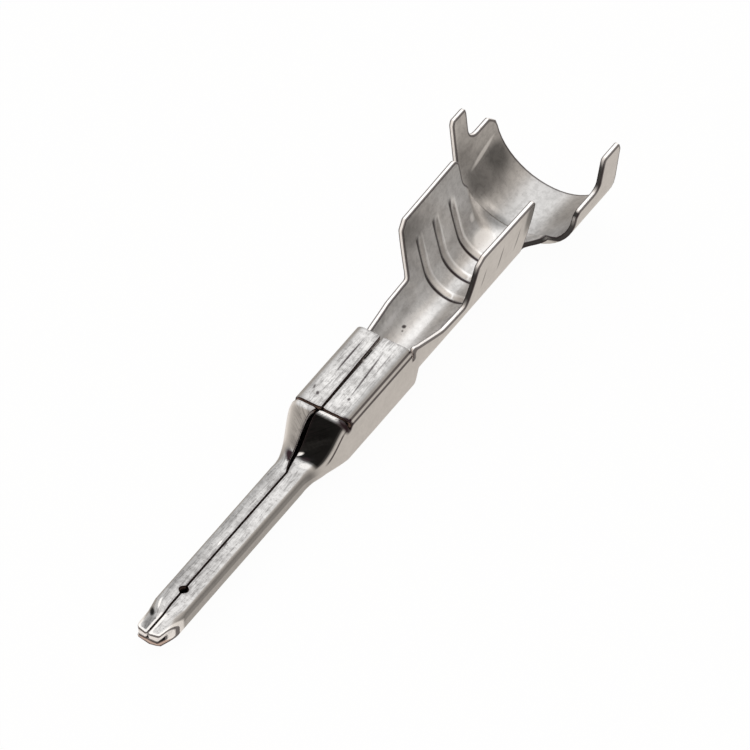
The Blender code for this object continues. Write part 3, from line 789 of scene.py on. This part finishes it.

# Soft marks of painted light and shade: dark reflections and shade at the tip's dimple, in the
# barrels and on sheared edges, and bright reflections such as glare. Skin, place along and across
# the strip, half length, half width (mm) and the tone
LIGHT_AND_SHADE_SPOTS = (
    (0, 0.61, -0.86, 0.13, 0.11, 0.04),
    (0, 0.28, -0.98, 0.40, 0.30, 0.38),
    (0, 7.60, 1.75, 0.35, 0.20, 2.20),
    (0, 16.72, 2.85, 0.26, 0.95, 0.40),
    (1, 14.50, -2.75, 0.70, 0.70, 0.80),
    (1, 13.20, -0.30, 1.20, 0.50, 1.16),
    (1, 18.90, -1.80, 1.70, 0.85, 0.42),
    (1, 19.45, -1.90, 0.55, 0.55, 0.60),
    (1, 18.45, -1.80, 0.50, 0.40, 0.85),
    (1, 18.90, -3.00, 1.80, 1.00, 0.88),
    (1, 19.20, 1.00, 0.90, 0.60, 0.74),
    (1, 17.86, -0.58, 0.46, 0.62, 0.40),
    (1, 18.22, -1.15, 0.14, 0.40, 1.35),
    (1, 16.98, -0.42, 0.50, 0.44, 1.45),
    (1, 17.04, -1.22, 0.16, 0.14, 1.30),
    (0.5, 14.06, 2.35, 0.35, 1.10, 0.05),
    (0.5, 19.03, 3.65, 0.25, 0.80, 0.06),
    (0.5, 18.02, 2.96, 0.10, 0.16, 0.04),
    (0.5, 17.93, 1.90, 0.20, 1.35, 0.03),
    (0.5, 17.45, 0.95, 0.70, 0.60, 0.03),
    (0.5, 8.38, 2.02, 0.20, 0.42, 0.10),
    (0.5, 8.475, 2.07, 0.12, 0.12, 9.0),
)
SPOT_STEEPNESS = 1.8  # a spot is full up to 1 - 1 / 1.8 of its size
GRAIN_COLUMN = FLAP_COLUMN - 3.0
GRAIN_BLUR = 4.0


def window(value, start, end, blur):
    """1 between start and end, falling to 0 over a blur at either side."""
    return ease((value - start) / blur + 0.5) * ease((end - value) / blur + 0.5)


def painted(along, column, across, skin, box_end):
    """Painted light and shade of the plating and strength of its streaks, from places along and across in
    mm.

    Each band and spot multiplies the tone under it by 1 + (its tone - 1) x its strength there. A
    band's strength is a window along times a window across, and a spot's is an ease of its reach,
    which is 1 on its ellipse. The flaps on top have streaks as well.
    """
    light_and_shade = np.ones_like(along)
    for layer, start, end, first, last, blur_along, blur_across, level in LIGHT_AND_SHADE_BANDS:
        amount = window(along, start, end, blur_along) * window(column, first, last, blur_across)
        light_and_shade *= 1.0 + (level - 1.0) * amount * (skin == layer)
    for layer, centre_along, centre_across, half_length, half_width, level in LIGHT_AND_SHADE_SPOTS:
        reach = np.hypot((along - centre_along) / half_length, (across - centre_across) / half_width)
        light_and_shade *= 1.0 + (level - 1.0) * ease(SPOT_STEEPNESS * (1.0 - reach)) * (skin == layer)
    grain = ease((np.abs(column) - GRAIN_COLUMN) / GRAIN_BLUR) * (along < box_end) * (skin == 0.0)
    return light_and_shade, grain


def strip_mesh(strip):
    """The folded strip as one closed mesh with rounded sheared edges.

    Both skins come from the trimmed grid. Between them a rim of strips follows a quarter circle,
    the sheared face and another quarter circle: at a turn the rim is radius x sin(turn) beyond the
    grid's outline and radius x (1 - cos(turn)) below its skin.
    """
    rows = stations(strip)
    columns = np.arange(-LAST_COLUMN, LAST_COLUMN + 1, dtype=float)
    grid = np.stack(np.meshgrid(rows, columns, indexing="ij"), axis=-1).reshape(-1, 2)

    def distance(points):
        return strip.inside(*points.T) - strip.rounding(*points.T)

    points, corners, counts = trim_grid(distance, grid, len(rows), len(columns))
    used, corners = np.unique(corners, return_inverse=True)
    along, column = points[used].T
    outer, inner, run = strip.fold(along, column)
    across, outward = run["across"], normalised(outer - inner)
    lean = strip.tip_lean(along, column)
    outer = strip.fold(along + lean, column)[0]
    inner = strip.fold(np.maximum(along - lean, 0.0), column)[1]
    pressed = strip.grooves(along, (outer[:, 2] + inner[:, 2]) / 2.0) - strip.tip_squeeze(along)
    ripple = waves(strip.sheet, along, across)
    outer = outer + outward * ripple[:, None]
    inner = inner + outward * (pressed + ripple)[:, None]

    total = len(along)
    start, end = boundary_edges(corners, counts, total)
    rim, start_at = np.unique(start, return_inverse=True)
    end_at = np.searchsorted(rim, end)
    edge_out = np.cross(normalised(outer[end] - outer[start]), outward[start])
    sideways = np.zeros((len(rim), 3))
    np.add.at(sideways, start_at, edge_out)
    np.add.at(sideways, end_at, edge_out)
    sideways = normalised(sideways)

    radius = strip.rounding(along[rim], column[rim])
    levels = [(outer, 0.0, turn) for turn in RIM_TURNS]
    levels += [(inner, 1.0, turn) for turn in RIM_TURNS[::-1]]
    vertices, depths = [outer, inner], [np.zeros(total), np.ones(total)]
    starts, ends = [start], [end]
    for number, (skin, layer, turn) in enumerate(levels):
        deep = (1.0 - math.cos(turn)) * (1.0 - 2.0 * layer)
        shift = sideways * math.sin(turn) - outward[rim] * deep
        vertices.append(skin[rim] + shift * radius[:, None])
        depths.append(layer + radius / strip.sheet.stock * deep)
        first = 2 * total + number * len(rim)
        starts.append(first + start_at)
        ends.append(first + end_at)
    starts.append(total + start)
    ends.append(total + end)
    vertices = np.concatenate(vertices)
    strips = np.concatenate([
        np.stack(quad, axis=-1) for quad in zip(ends, starts, starts[1:], ends[1:])])
    all_corners = np.concatenate([corners, corners[::-1] + total, strips.ravel()])
    all_counts = np.concatenate([counts, counts[::-1], np.full(len(strips), 4)])

    mesh = bpy.data.meshes.new("contact_sheet")
    mesh.vertices.add(len(vertices))
    mesh.vertices.foreach_set("co", vertices.astype(np.float32).ravel())
    mesh.loops.add(len(all_corners))
    mesh.loops.foreach_set("vertex_index", all_corners.astype(np.int32))
    mesh.polygons.add(len(all_counts))
    mesh.polygons.foreach_set("loop_start", (np.cumsum(all_counts) - all_counts).astype(np.int32))
    material = np.repeat([0, 1], [2 * len(counts), len(strips)]).astype(np.int32)
    mesh.polygons.foreach_set("material_index", material)
    mesh.update(calc_edges=True)
    mesh.shade_smooth()

    def spread(on_outer, on_inner, on_rim):
        """One number for each vertex: both skins, and the rim's own at every level."""
        return np.concatenate([on_outer, on_inner, np.tile(on_rim, len(levels))])

    nowhere, bare_rim = np.zeros(total), np.zeros(len(rim))
    along_mm, across_mm = along / MM, across / MM
    edge = strip.inside(along, column) / MM
    numbers = {
        "along": spread(along_mm, along_mm, along_mm[rim]),
        "across": spread(across_mm, across_mm, across_mm[rim]),
        "column": spread(column, column, column[rim]),
        "depth": np.concatenate(depths),
        "edge": spread(edge, edge, bare_rim),
        "groove": spread(nowhere, strip.groove_fade((outer[:, 2] + inner[:, 2]) / 2.0), bare_rim)}
    skin = spread(nowhere, nowhere + 1.0, bare_rim + 0.5)
    # Painted light and shade from the bands and spots, and the strength of the streaks
    numbers["light_and_shade"], numbers["grain"] = painted(
        numbers["along"], numbers["column"], numbers["across"], skin, strip.rear_slit_middle / MM)
    for name, values in numbers.items():
        attribute = mesh.attributes.new(name, "FLOAT", "POINT")
        attribute.data.foreach_set("value", values.astype(np.float32))
    return mesh


class Socket:
    """A node's output, whose sums, differences and products add Math nodes."""

    def __init__(self, nodes, socket):
        self.nodes = nodes
        self.socket = socket

    def maths(self, operation, *others):
        """The result of a Math node on this value and others."""
        return self.nodes.add(
            "ShaderNodeMath", dict(enumerate((self, *others))), operation=operation)

    def __add__(self, other):
        return self.maths("ADD", other)

    def __mul__(self, other):
        return self.maths("MULTIPLY", other)

    def __sub__(self, other):
        return self.maths("SUBTRACT", other)

    def __rsub__(self, other):
        return self.nodes.add("ShaderNodeMath", {0: other, 1: self}, operation="SUBTRACT")

    __radd__ = __add__
    __rmul__ = __mul__

    def capped(self, top=1.0):
        """This value, at most the top."""
        return self.maths("MINIMUM", top)


class Nodes:
    """A node tree that is filled by one method."""

    def __init__(self, tree):
        self.tree = tree
        tree.nodes.clear()

    def add(self, kind, values=(), output=0, **settings):
        """Add a node: its settings first, then the values or links of its sockets.

        A colour is given as three numbers.
        """
        node = self.tree.nodes.new(kind)
        for name, value in settings.items():
            setattr(node, name, value)
        for key, value in dict(values).items():
            if isinstance(value, Socket):
                self.tree.links.new(value.socket, node.inputs[key])
            elif node.inputs[key].type == "RGBA":
                node.inputs[key].default_value = (*value, 1.0)
            else:
                node.inputs[key].default_value = value
        return Socket(self, node.outputs[output]) if node.outputs else None

    def numbers(self, *names):
        """Numbers kept on the mesh."""
        return [self.add("ShaderNodeAttribute", output="Fac", attribute_name=name) for name in names]

    def place(self, x, y, z):
        """A vector of three values."""
        return self.add("ShaderNodeCombineXYZ", {0: x, 1: y, 2: z})

    def mix(self, amount, first, second):
        """A colour between two colours, whose sockets are the Mix node's inputs 6 and 7."""
        return self.add(
            "ShaderNodeMix", {0: amount, 6: first, 7: second}, output=2, data_type="RGBA")

    def scaled(self, colour_in, factor):
        """A colour times a factor."""
        return self.add("ShaderNodeVectorMath", {0: colour_in, "Scale": factor}, operation="SCALE")

    def smooth(self, value, low, high):
        """0 below low, 1 above high and an S curve between them."""
        return self.add(
            "ShaderNodeMapRange", {"Value": value, "From Min": low, "From Max": high},
            interpolation_type="SMOOTHSTEP")

    def noise(self, vector, scale, detail=3.0, roughness=0.55, distortion=0.0):
        """Value of a noise texture."""
        return self.add("ShaderNodeTexNoise", {
            "Vector": vector, "Scale": scale, "Detail": detail, "Roughness": roughness,
            "Distortion": distortion})

    def line(self, value, centre, half_width):
        """1 round a centre, 0 beyond a half width on either side."""
        return self.smooth((value - centre).maths("ABSOLUTE"), half_width, MARK_CORE * half_width)

    def marks(self, sheet, table):
        """Elliptic marks of a table, each on one skin, added up."""
        total = 0.0
        for skin, along, across, half_length, half_width, turn, strength in table:
            local = self.add("ShaderNodeMapping", {
                "Vector": sheet, "Location": (across, along, skin),
                "Rotation": (0.0, 0.0, -math.radians(turn)),
                "Scale": (half_width, half_length, MARK_DEPTH)}, vector_type="TEXTURE")
            reach = self.add("ShaderNodeVectorMath", {0: local}, output="Value", operation="LENGTH")
            total = total + self.smooth(reach, 1.0, MARK_CORE) * strength
        return total

    def ray(self, kind):
        """1 for the rays of a kind, such as Camera."""
        return self.add("ShaderNodeLightPath", output=f"Is {kind} Ray")


def new_material(name):
    """An empty material and its nodes."""
    material = bpy.data.materials.new(name)
    material.use_nodes = True
    return material, Nodes(material.node_tree)


# Thin dark scratches, pits and nicks, and painted shade: the relief's dark hole, dark blobs beside
# the seam at the shoulder's front and thin dark lines over the grooves on the right wing's outside.
# Skin, place along and across the strip, half length, half width (mm), turn to the right (degrees)
# and strength
SCRATCHES_AND_SHADE = (
    (0, 10.40, -2.53, 0.90, 0.040, 0.6, 0.85),
    (0, 9.60, -2.70, 0.50, 0.025, 0.0, 0.45),
    (0, 10.05, 2.61, 1.15, 0.038, 4.2, 0.80),
    (0, 10.60, 2.45, 0.60, 0.022, 2.0, 0.40),
    (0, 9.05, 2.53, 0.07, 0.06, 0.0, 0.75),
    (0, 8.80, -2.55, 0.09, 0.06, 25.0, 0.80),
    (0, 8.95, -2.35, 0.10, 0.04, 20.0, 0.60),
    (0, 8.33, 2.12, 0.24, 0.32, 0.0, 1.00),
    (0, 7.20, -1.14, 0.24, 0.18, 0.0, 1.00),
    (0, 7.30, 1.30, 0.10, 0.16, 0.0, 0.60),
    (0, 3.62, 1.25, 0.12, 0.03, 0.0, 0.50),
    (0, 16.24, 2.30, 0.045, 0.62, -4.0, 0.75),
    (0, 15.42, 2.30, 0.050, 0.62, -4.0, 0.80),
    (0, 14.62, 2.20, 0.045, 0.50, -4.0, 0.70),
    (1, 13.07, -0.50, 0.10, 0.07, 30.0, 0.90),
    (1, 12.93, -0.45, 0.05, 0.04, 0.0, 0.60),
)

# Painted highlights: small bright marks, their columns as in the scratches
PAINTED_HIGHLIGHTS = (
    (0, 7.36, 1.60, 0.11, 0.10, 0.0, 1.0),
    (0, 7.10, 1.08, 0.16, 0.18, 0.0, 0.6),
    (0, 3.58, -1.19, 0.13, 0.04, 0.0, 0.9),
    (0, 0.95, -0.98, 0.20, 0.04, 0.0, 0.9),
    (1, 17.00, -0.42, 0.34, 0.20, 0.0, 0.8),
    (1, 19.05, -2.35, 0.80, 0.10, -12.0, 0.45),
)

# Mottling, clouds, specks, streaks and hairlines: stretch across, along and in depth, then the
# noise's scale, detail, roughness and distortion
PLATING_NOISE = (
    (1.0, 1.0, 1.0, 6.0, 4.0, 0.65, 0.4),
    (1.0, 1.0, 1.0, 1.3, 2.0, 0.5),
    (1.0, 1.0, 1.0, 19.0, 2.0, 0.5),
    (9.0, 0.9, 3.0, 1.6, 3.0, 0.6),
    (26.0, 1.8, 3.0, 1.0, 2.0, 0.5),
)

# A mark is full up to this share of its size, and reaches this far between the skins
MARK_CORE, MARK_DEPTH = 0.45, 0.4

# Painted shade along the creases of the right top bend, for dark reflections: column, half width
# (columns) and strength
BOX_CREASE_SHADE = ((39.0, 1.2, 0.85), (42.0, 0.9, 0.75))
SHOULDER_CREASE_SHADE = (39.4, 0.75, 0.85)
# Middle and half length along the strip (mm) of the shoulder's crease, which gets painted shade,
# and of the left flap's bright sheared face, which gets none
CREASE_PLACE = (7.86, 0.42)
LEFT_FLAP_PLACE = (7.78, 0.75)
# Painted shade line and painted highlight line of a groove: distance behind its front and half width (mm)
GROOVE_SHADE_LINE = (0.02, 0.095)
GROOVE_HIGHLIGHT_LINE = (0.20, 0.11)


def tin_material(strip, finish):
    """Bright tin plating: mottling and streaks, painted light and shade, scratches and dark outlines of
    painted reflection.

    The outlines run beside the open edges. Each groove has a thin line of painted shade in front and
    one of painted highlight behind it. The inside of the closed tube and the creases get painted
    shade, and the tip's cut edges a painted highlight.
    """
    material, nodes = new_material("tin_plating")
    along, across, column, depth, edge, light_and_shade, grain, groove = nodes.numbers(
        "along", "across", "column", "depth", "edge", "light_and_shade", "grain", "groove")
    sheet = nodes.place(across, along, depth)
    mottle, cloud, speck, streak, hairline = [
        nodes.noise(nodes.place(across * fine, along * long, depth * deep), *settings)
        for fine, long, deep, *settings in PLATING_NOISE]

    tip_end, box_front, box_rear = [
        place / MM for place in (strip.blade.tip_length, strip.box_front, strip.box_rear)]
    inner = nodes.smooth(depth, 0.4, 0.6)
    opened = nodes.smooth(along, box_rear - 0.01, box_rear + 0.04)
    # Painted shade on the inner skin inside the closed tube
    tube_inside_shade = inner * (1.0 - opened) * nodes.smooth(along, 0.1, 0.5)
    behind_tip = nodes.smooth(along, tip_end, tip_end + 0.1)
    on_box = nodes.smooth(along, box_front - 0.02, box_front + 0.02) * (1.0 - opened) * (1.0 - inner)
    at_crease = nodes.line(along, *CREASE_PLACE) * (1.0 - inner)

    soft = nodes.smooth(mottle, 0.42, 0.62) * 0.38 + nodes.smooth(cloud, 0.38, 0.66) * 0.32
    lined = nodes.smooth(streak, 0.50, 0.64) * 0.35 + nodes.smooth(hairline, 0.52, 0.66) * 0.45
    dull = soft * (0.20 + grain * 0.70 + inner * 0.38) + lined * (grain + inner * 0.12)
    # Painted light and shade scale the plating's colour
    base = nodes.scaled(nodes.mix(dull, finish.tin, finish.dull_tin), light_and_shade)

    # Painted shade along the box's right top bend and along the shoulder's crease
    crease_shade = sum(nodes.line(column, *place) * strength for *place, strength in BOX_CREASE_SHADE) * on_box
    *place, strength = SHOULDER_CREASE_SHADE
    crease_shade = crease_shade + nodes.line(column, *place) * at_crease * strength
    pits = nodes.smooth(speck, 0.62, 0.70) * (grain * 0.5 + inner * 0.2)
    # Painted dark reflection: a thin dark line beside the open edges
    outline = nodes.smooth(edge, 0.078, 0.045) * (behind_tip * 0.20 + opened * 0.55)
    # Painted highlight along the tip's cut edges on top
    tip_edge_highlight = nodes.smooth(edge, 0.09, 0.05) * (1.0 - behind_tip) * (1.0 - inner) * 0.8
    fronts = [front / MM for front in strip.groove_fronts()]
    drawn = nodes.smooth(groove, 0.02, 0.35)
    # Painted shade in front of each groove and a painted highlight behind it
    groove_shade, groove_highlight = [
        sum(nodes.line(along, front + behind, half_width) for front in fronts) * drawn
        for behind, half_width in (GROOVE_SHADE_LINE, GROOVE_HIGHLIGHT_LINE)]
    # Dirt in scratches and pits, together with painted shade and painted dark reflections
    dark = nodes.marks(sheet, SCRATCHES_AND_SHADE) + pits + tube_inside_shade * 0.85 + outline + crease_shade + groove_shade
    # Painted highlights: the bright marks, the brightest painted light and the tip's cut edges turn pale
    # and less metallic
    highlight_share = (nodes.marks(sheet, PAINTED_HIGHLIGHTS) + nodes.smooth(light_and_shade, 1.02, 1.45) + tip_edge_highlight).capped()
    base = nodes.mix((highlight_share + groove_highlight * 0.7).capped(), base, finish.glint)
    base = nodes.mix(dark.capped(), base, finish.tarnish)
    height = mottle * 0.35 + speck * 0.25 + streak * 0.4 + hairline * 0.3
    normal = nodes.add("ShaderNodeBump", {"Strength": 0.12, "Distance": 0.01 * MM, "Height": height})
    shader = nodes.add("ShaderNodeBsdfPrincipled", {
        "Base Color": base, "Metallic": 1.0 - highlight_share * 0.7, "Normal": normal,
        "Roughness": 0.22 + mottle * 0.16 + cloud * 0.08})
    nodes.add("ShaderNodeOutputMaterial", {"Surface": shader})
    return material


def edge_material(strip, finish):
    """Sheared edge: bright fresh metal between two thin dark lines of painted reflection.

    Brass shows in small patches, on the tip's floor and on the faces inside the seam, the slits
    and the hole, which get painted shade too. The left flap's face on the shoulder gets no painted
    shade and stays bright.
    """
    material, nodes = new_material("sheared_edge")
    along, across, depth, signed_column, light_and_shade = nodes.numbers(
        "along", "across", "depth", "column", "light_and_shade")
    column = signed_column.maths("ABSOLUTE")
    sheet = nodes.place(across, along, depth)
    patch = nodes.noise(sheet, 3.0, 3.0)
    fine = nodes.noise(sheet, 14.0, 2.0)
    hole, shoulder_rear, box_rear = [
        place / MM for place in (strip.blade.hole_from_tip, strip.shoulder_rear, strip.box_rear)]
    # Painted dark reflection along both ends of the sheared face
    rim_dark_reflection = nodes.smooth(depth, 0.36, 0.24) + nodes.smooth(depth, 0.72, 0.84)
    closed = nodes.smooth(along, box_rear + 0.04, box_rear - 0.01)
    left_flap = nodes.smooth(signed_column, 3.0 - LAST_COLUMN, 1.0 - LAST_COLUMN)
    left_flap = left_flap * nodes.line(along, *LEFT_FLAP_PLACE)
    in_seam = nodes.smooth(column, LAST_COLUMN - 0.6, LAST_COLUMN - 0.1) * (1.0 - left_flap)
    in_seam = in_seam * nodes.smooth(along, 0.1, 0.3)
    in_slit = nodes.smooth(along, shoulder_rear - 0.10, shoulder_rear - 0.05)
    in_hole = nodes.line(along, hole, 0.5) * nodes.smooth(column, FLAP_COLUMN - 1.0, FLAP_COLUMN)
    in_gap = closed * (in_seam + in_slit + in_hole).capped()
    tip_floor = nodes.smooth(column, 8.0, 4.0) * nodes.smooth(along, 0.8, 0.4)
    bare = (nodes.smooth(patch, 0.60, 0.72) * 0.35 + in_gap * 0.8 + tip_floor * 0.7).capped()
    # Painted light and shade from the spots scale the sheared edge's colour
    base = nodes.scaled(nodes.mix(bare, finish.edge, finish.brass), light_and_shade)
    # Painted shade inside the seam, the slits and the hole, with the lines of painted dark reflection
    dark = (rim_dark_reflection * 0.85 + (in_seam + in_hole) * closed * 0.5 + in_gap * 0.20).capped(0.95)
    shader = nodes.add("ShaderNodeBsdfPrincipled", {
        "Base Color": nodes.mix(dark, base, finish.tarnish), "Metallic": 0.5,
        "Roughness": 0.34 + fine * 0.2})
    nodes.add("ShaderNodeOutputMaterial", {"Surface": shader})
    return material


WHITE = (1.0, 1.0, 1.0)
FLOOR_PAINT = (0.86, 0.86, 0.86)
GLOW_SHARE = 0.96  # the rest is paint, which takes the object's shadow
PANEL_DIRECTION = Vector((-0.34, 0.50, 0.80)).normalized()
PANEL_COSINES = (0.74, 0.90)


def floor_material(studio):
    """Stage floor: the camera sees it white, less a faint shadow of the object.

    The metal mirrors it as a warm glow, a little darker than white.
    """
    material, nodes = new_material("stage_floor")
    glossy = nodes.ray("Glossy")
    shown = (nodes.ray("Camera") + nodes.ray("Transmission") + glossy).capped()
    paint = nodes.add("ShaderNodeBsdfDiffuse", {"Color": FLOOR_PAINT})
    tint = nodes.mix(glossy, WHITE, [part * studio.floor for part in studio.warmth])
    glow = nodes.add("ShaderNodeEmission", {"Color": tint, "Strength": 1.0})
    mixed = nodes.add("ShaderNodeMixShader", {0: shown * GLOW_SHARE, 1: paint, 2: glow})
    nodes.add("ShaderNodeOutputMaterial", {"Surface": mixed})
    return material


def set_world(studio):
    """A soft warm room with a bright white panel overhead and behind.

    The panel's edge fades between two values of the cosine of the angle to its middle.
    """
    world = bpy.data.worlds.new("studio")
    world.use_nodes = True
    bpy.context.scene.world = world
    nodes = Nodes(world.node_tree)
    to_panel = nodes.add(
        "ShaderNodeVectorMath", {0: nodes.add("ShaderNodeTexCoord"), 1: PANEL_DIRECTION},
        output="Value", operation="DOT_PRODUCT")
    overhead = nodes.smooth(to_panel, *PANEL_COSINES)
    camera = nodes.ray("Camera")
    level = studio.fill + overhead * (studio.overhead - studio.fill)
    level = level * (1.0 - camera) + camera
    tint = nodes.mix((overhead + camera).capped(), studio.warmth, WHITE)
    background = nodes.add("ShaderNodeBackground", {"Color": tint, "Strength": level})
    nodes.add("ShaderNodeOutputWorld", {"Surface": background})


class CONTACT_OT_sheet(Operator):
    """Build the folded sheet and its plating"""
    bl_idname = "contact.sheet"
    bl_label = "Build Contact"

    def execute(self, context):
        contact = context.scene.contact
        strip = Strip(contact)
        mesh = strip_mesh(strip)
        mesh.materials.append(tin_material(strip, contact.finish))
        mesh.materials.append(edge_material(strip, contact.finish))
        piece = bpy.data.objects.new("contact_sheet", mesh)
        context.scene.collection.objects.link(piece)
        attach(piece, "root")
        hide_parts("contact")
        return {"FINISHED"}


# Camera as fitted to the photograph: the point it aims at, its direction, its scale at that point
# and the place of the point in the image, in pixels
AIM = Vector((0.0, 0.03 * MM, 1.17 * MM))
CAMERA_AZIMUTH = math.radians(33.77)
CAMERA_ELEVATION = math.radians(47.95)
CAMERA_ROLL = math.radians(-0.66)
PIXELS_PER_METRE = 37.06 / MM
CAMERA_DISTANCE = 344.8 * MM
IMAGE_SIZE = 750.0
AIM_IN_IMAGE = (355.06, 388.16)
SENSOR_WIDTH = 36.0
CLIP_START, CLIP_END = 0.01, 10.0


def place_camera(scene):
    """Put the camera where the photograph was taken from."""
    azimuth, elevation = CAMERA_AZIMUTH, CAMERA_ELEVATION
    right = Vector((math.cos(azimuth), math.sin(azimuth), 0.0))
    back = Vector((
        math.sin(azimuth) * math.cos(elevation), -math.cos(azimuth) * math.cos(elevation),
        math.sin(elevation)))
    up = back.cross(right)
    turned_right = right * math.cos(CAMERA_ROLL) + up * math.sin(CAMERA_ROLL)
    turned_up = up * math.cos(CAMERA_ROLL) - right * math.sin(CAMERA_ROLL)
    data = bpy.data.cameras.new("photo_camera")
    data.sensor_width = SENSOR_WIDTH
    data.lens = PIXELS_PER_METRE * CAMERA_DISTANCE * SENSOR_WIDTH / IMAGE_SIZE
    data.shift_x = (IMAGE_SIZE / 2.0 - AIM_IN_IMAGE[0]) / IMAGE_SIZE
    data.shift_y = (AIM_IN_IMAGE[1] - IMAGE_SIZE / 2.0) / IMAGE_SIZE
    data.clip_start = CLIP_START
    data.clip_end = CLIP_END
    camera = bpy.data.objects.new("photo_camera", data)
    rotation = Matrix((turned_right, turned_up, back)).transposed().to_4x4()
    camera.matrix_world = Matrix.Translation(AIM + back * CAMERA_DISTANCE) @ rotation
    scene.collection.objects.link(camera)
    scene.camera = camera


FLOOR_RADIUS = 0.5
FLOOR_RINGS = 24
FLOOR_SPOKES = 64


def floor_mesh():
    """A round floor: rings whose distances grow with their number squared, at height 0."""
    distance = np.linspace(0.0, 1.0, FLOOR_RINGS + 1)[1:] ** 2 * FLOOR_RADIUS
    turn = np.linspace(0.0, 2.0 * math.pi, FLOOR_SPOKES, endpoint=False)
    ring, spoke = np.meshgrid(distance, turn, indexing="ij")
    points = np.stack([ring * np.cos(spoke), ring * np.sin(spoke), 0.0 * ring], axis=-1)
    number = np.arange(ring.size).reshape(ring.shape)
    after = np.roll(number, -1, axis=1)
    quads = np.stack([number[:-1], number[1:], after[1:], after[:-1]], axis=-1).reshape(-1, 4)
    mesh = bpy.data.meshes.new("stage_floor")
    mesh.from_pydata(points.reshape(-1, 3).tolist(), [], quads.tolist() + [number[0].tolist()])
    return mesh


class CONTACT_OT_stage(Operator):
    """Build the floor, the light and the camera"""
    bl_idname = "contact.stage"
    bl_label = "Build Stage"

    def execute(self, context):
        scene = context.scene
        mesh = floor_mesh()
        mesh.materials.append(floor_material(scene.contact.studio))
        floor = bpy.data.objects.new("stage_floor", mesh)
        scene.collection.objects.link(floor)
        set_world(scene.contact.studio)
        place_camera(scene)
        scene.view_settings.view_transform = "Standard"
        return {"FINISHED"}


class CONTACT_PT_panel(Panel):
    """Sizes, finish and light of the contact"""
    bl_idname = "CONTACT_PT_panel"
    bl_label = "Crimp Pin Contact"
    bl_space_type = "VIEW_3D"
    bl_region_type = "UI"
    bl_category = "Contact"

    def draw(self, context):
        contact = context.scene.contact
        for group in ContactSettings.__annotations__:
            settings = getattr(contact, group)
            area = self.layout.box()
            area.label(text=group.capitalize())
            for name in settings.__annotations__:
                area.prop(settings, name)
        self.layout.operator(CONTACT_OT_sheet.bl_idname)
        self.layout.operator(CONTACT_OT_stage.bl_idname)


CLASSES = (
    SheetSizes, BladeSizes, ShoulderSizes, BoxSizes, ChannelSizes, WireSizes, LinkSizes,
    InsulationSizes, Finish, Studio, ContactSettings, CONTACT_OT_sheet, CONTACT_OT_stage,
    CONTACT_PT_panel)


def register():
    """Make the settings, the operators and the panel known to Blender."""
    for part in CLASSES:
        bpy.utils.register_class(part)
    bpy.types.Scene.contact = PointerProperty(type=ContactSettings)


def unregister():
    """Take them out again."""
    del bpy.types.Scene.contact
    for part in reversed(CLASSES):
        bpy.utils.unregister_class(part)


def main():
    """Build everything."""
    register()
    bpy.ops.contact.sheet()
    bpy.ops.contact.stage()
    bpy.context.view_layer.update()


if __name__ == "__main__":
    main()
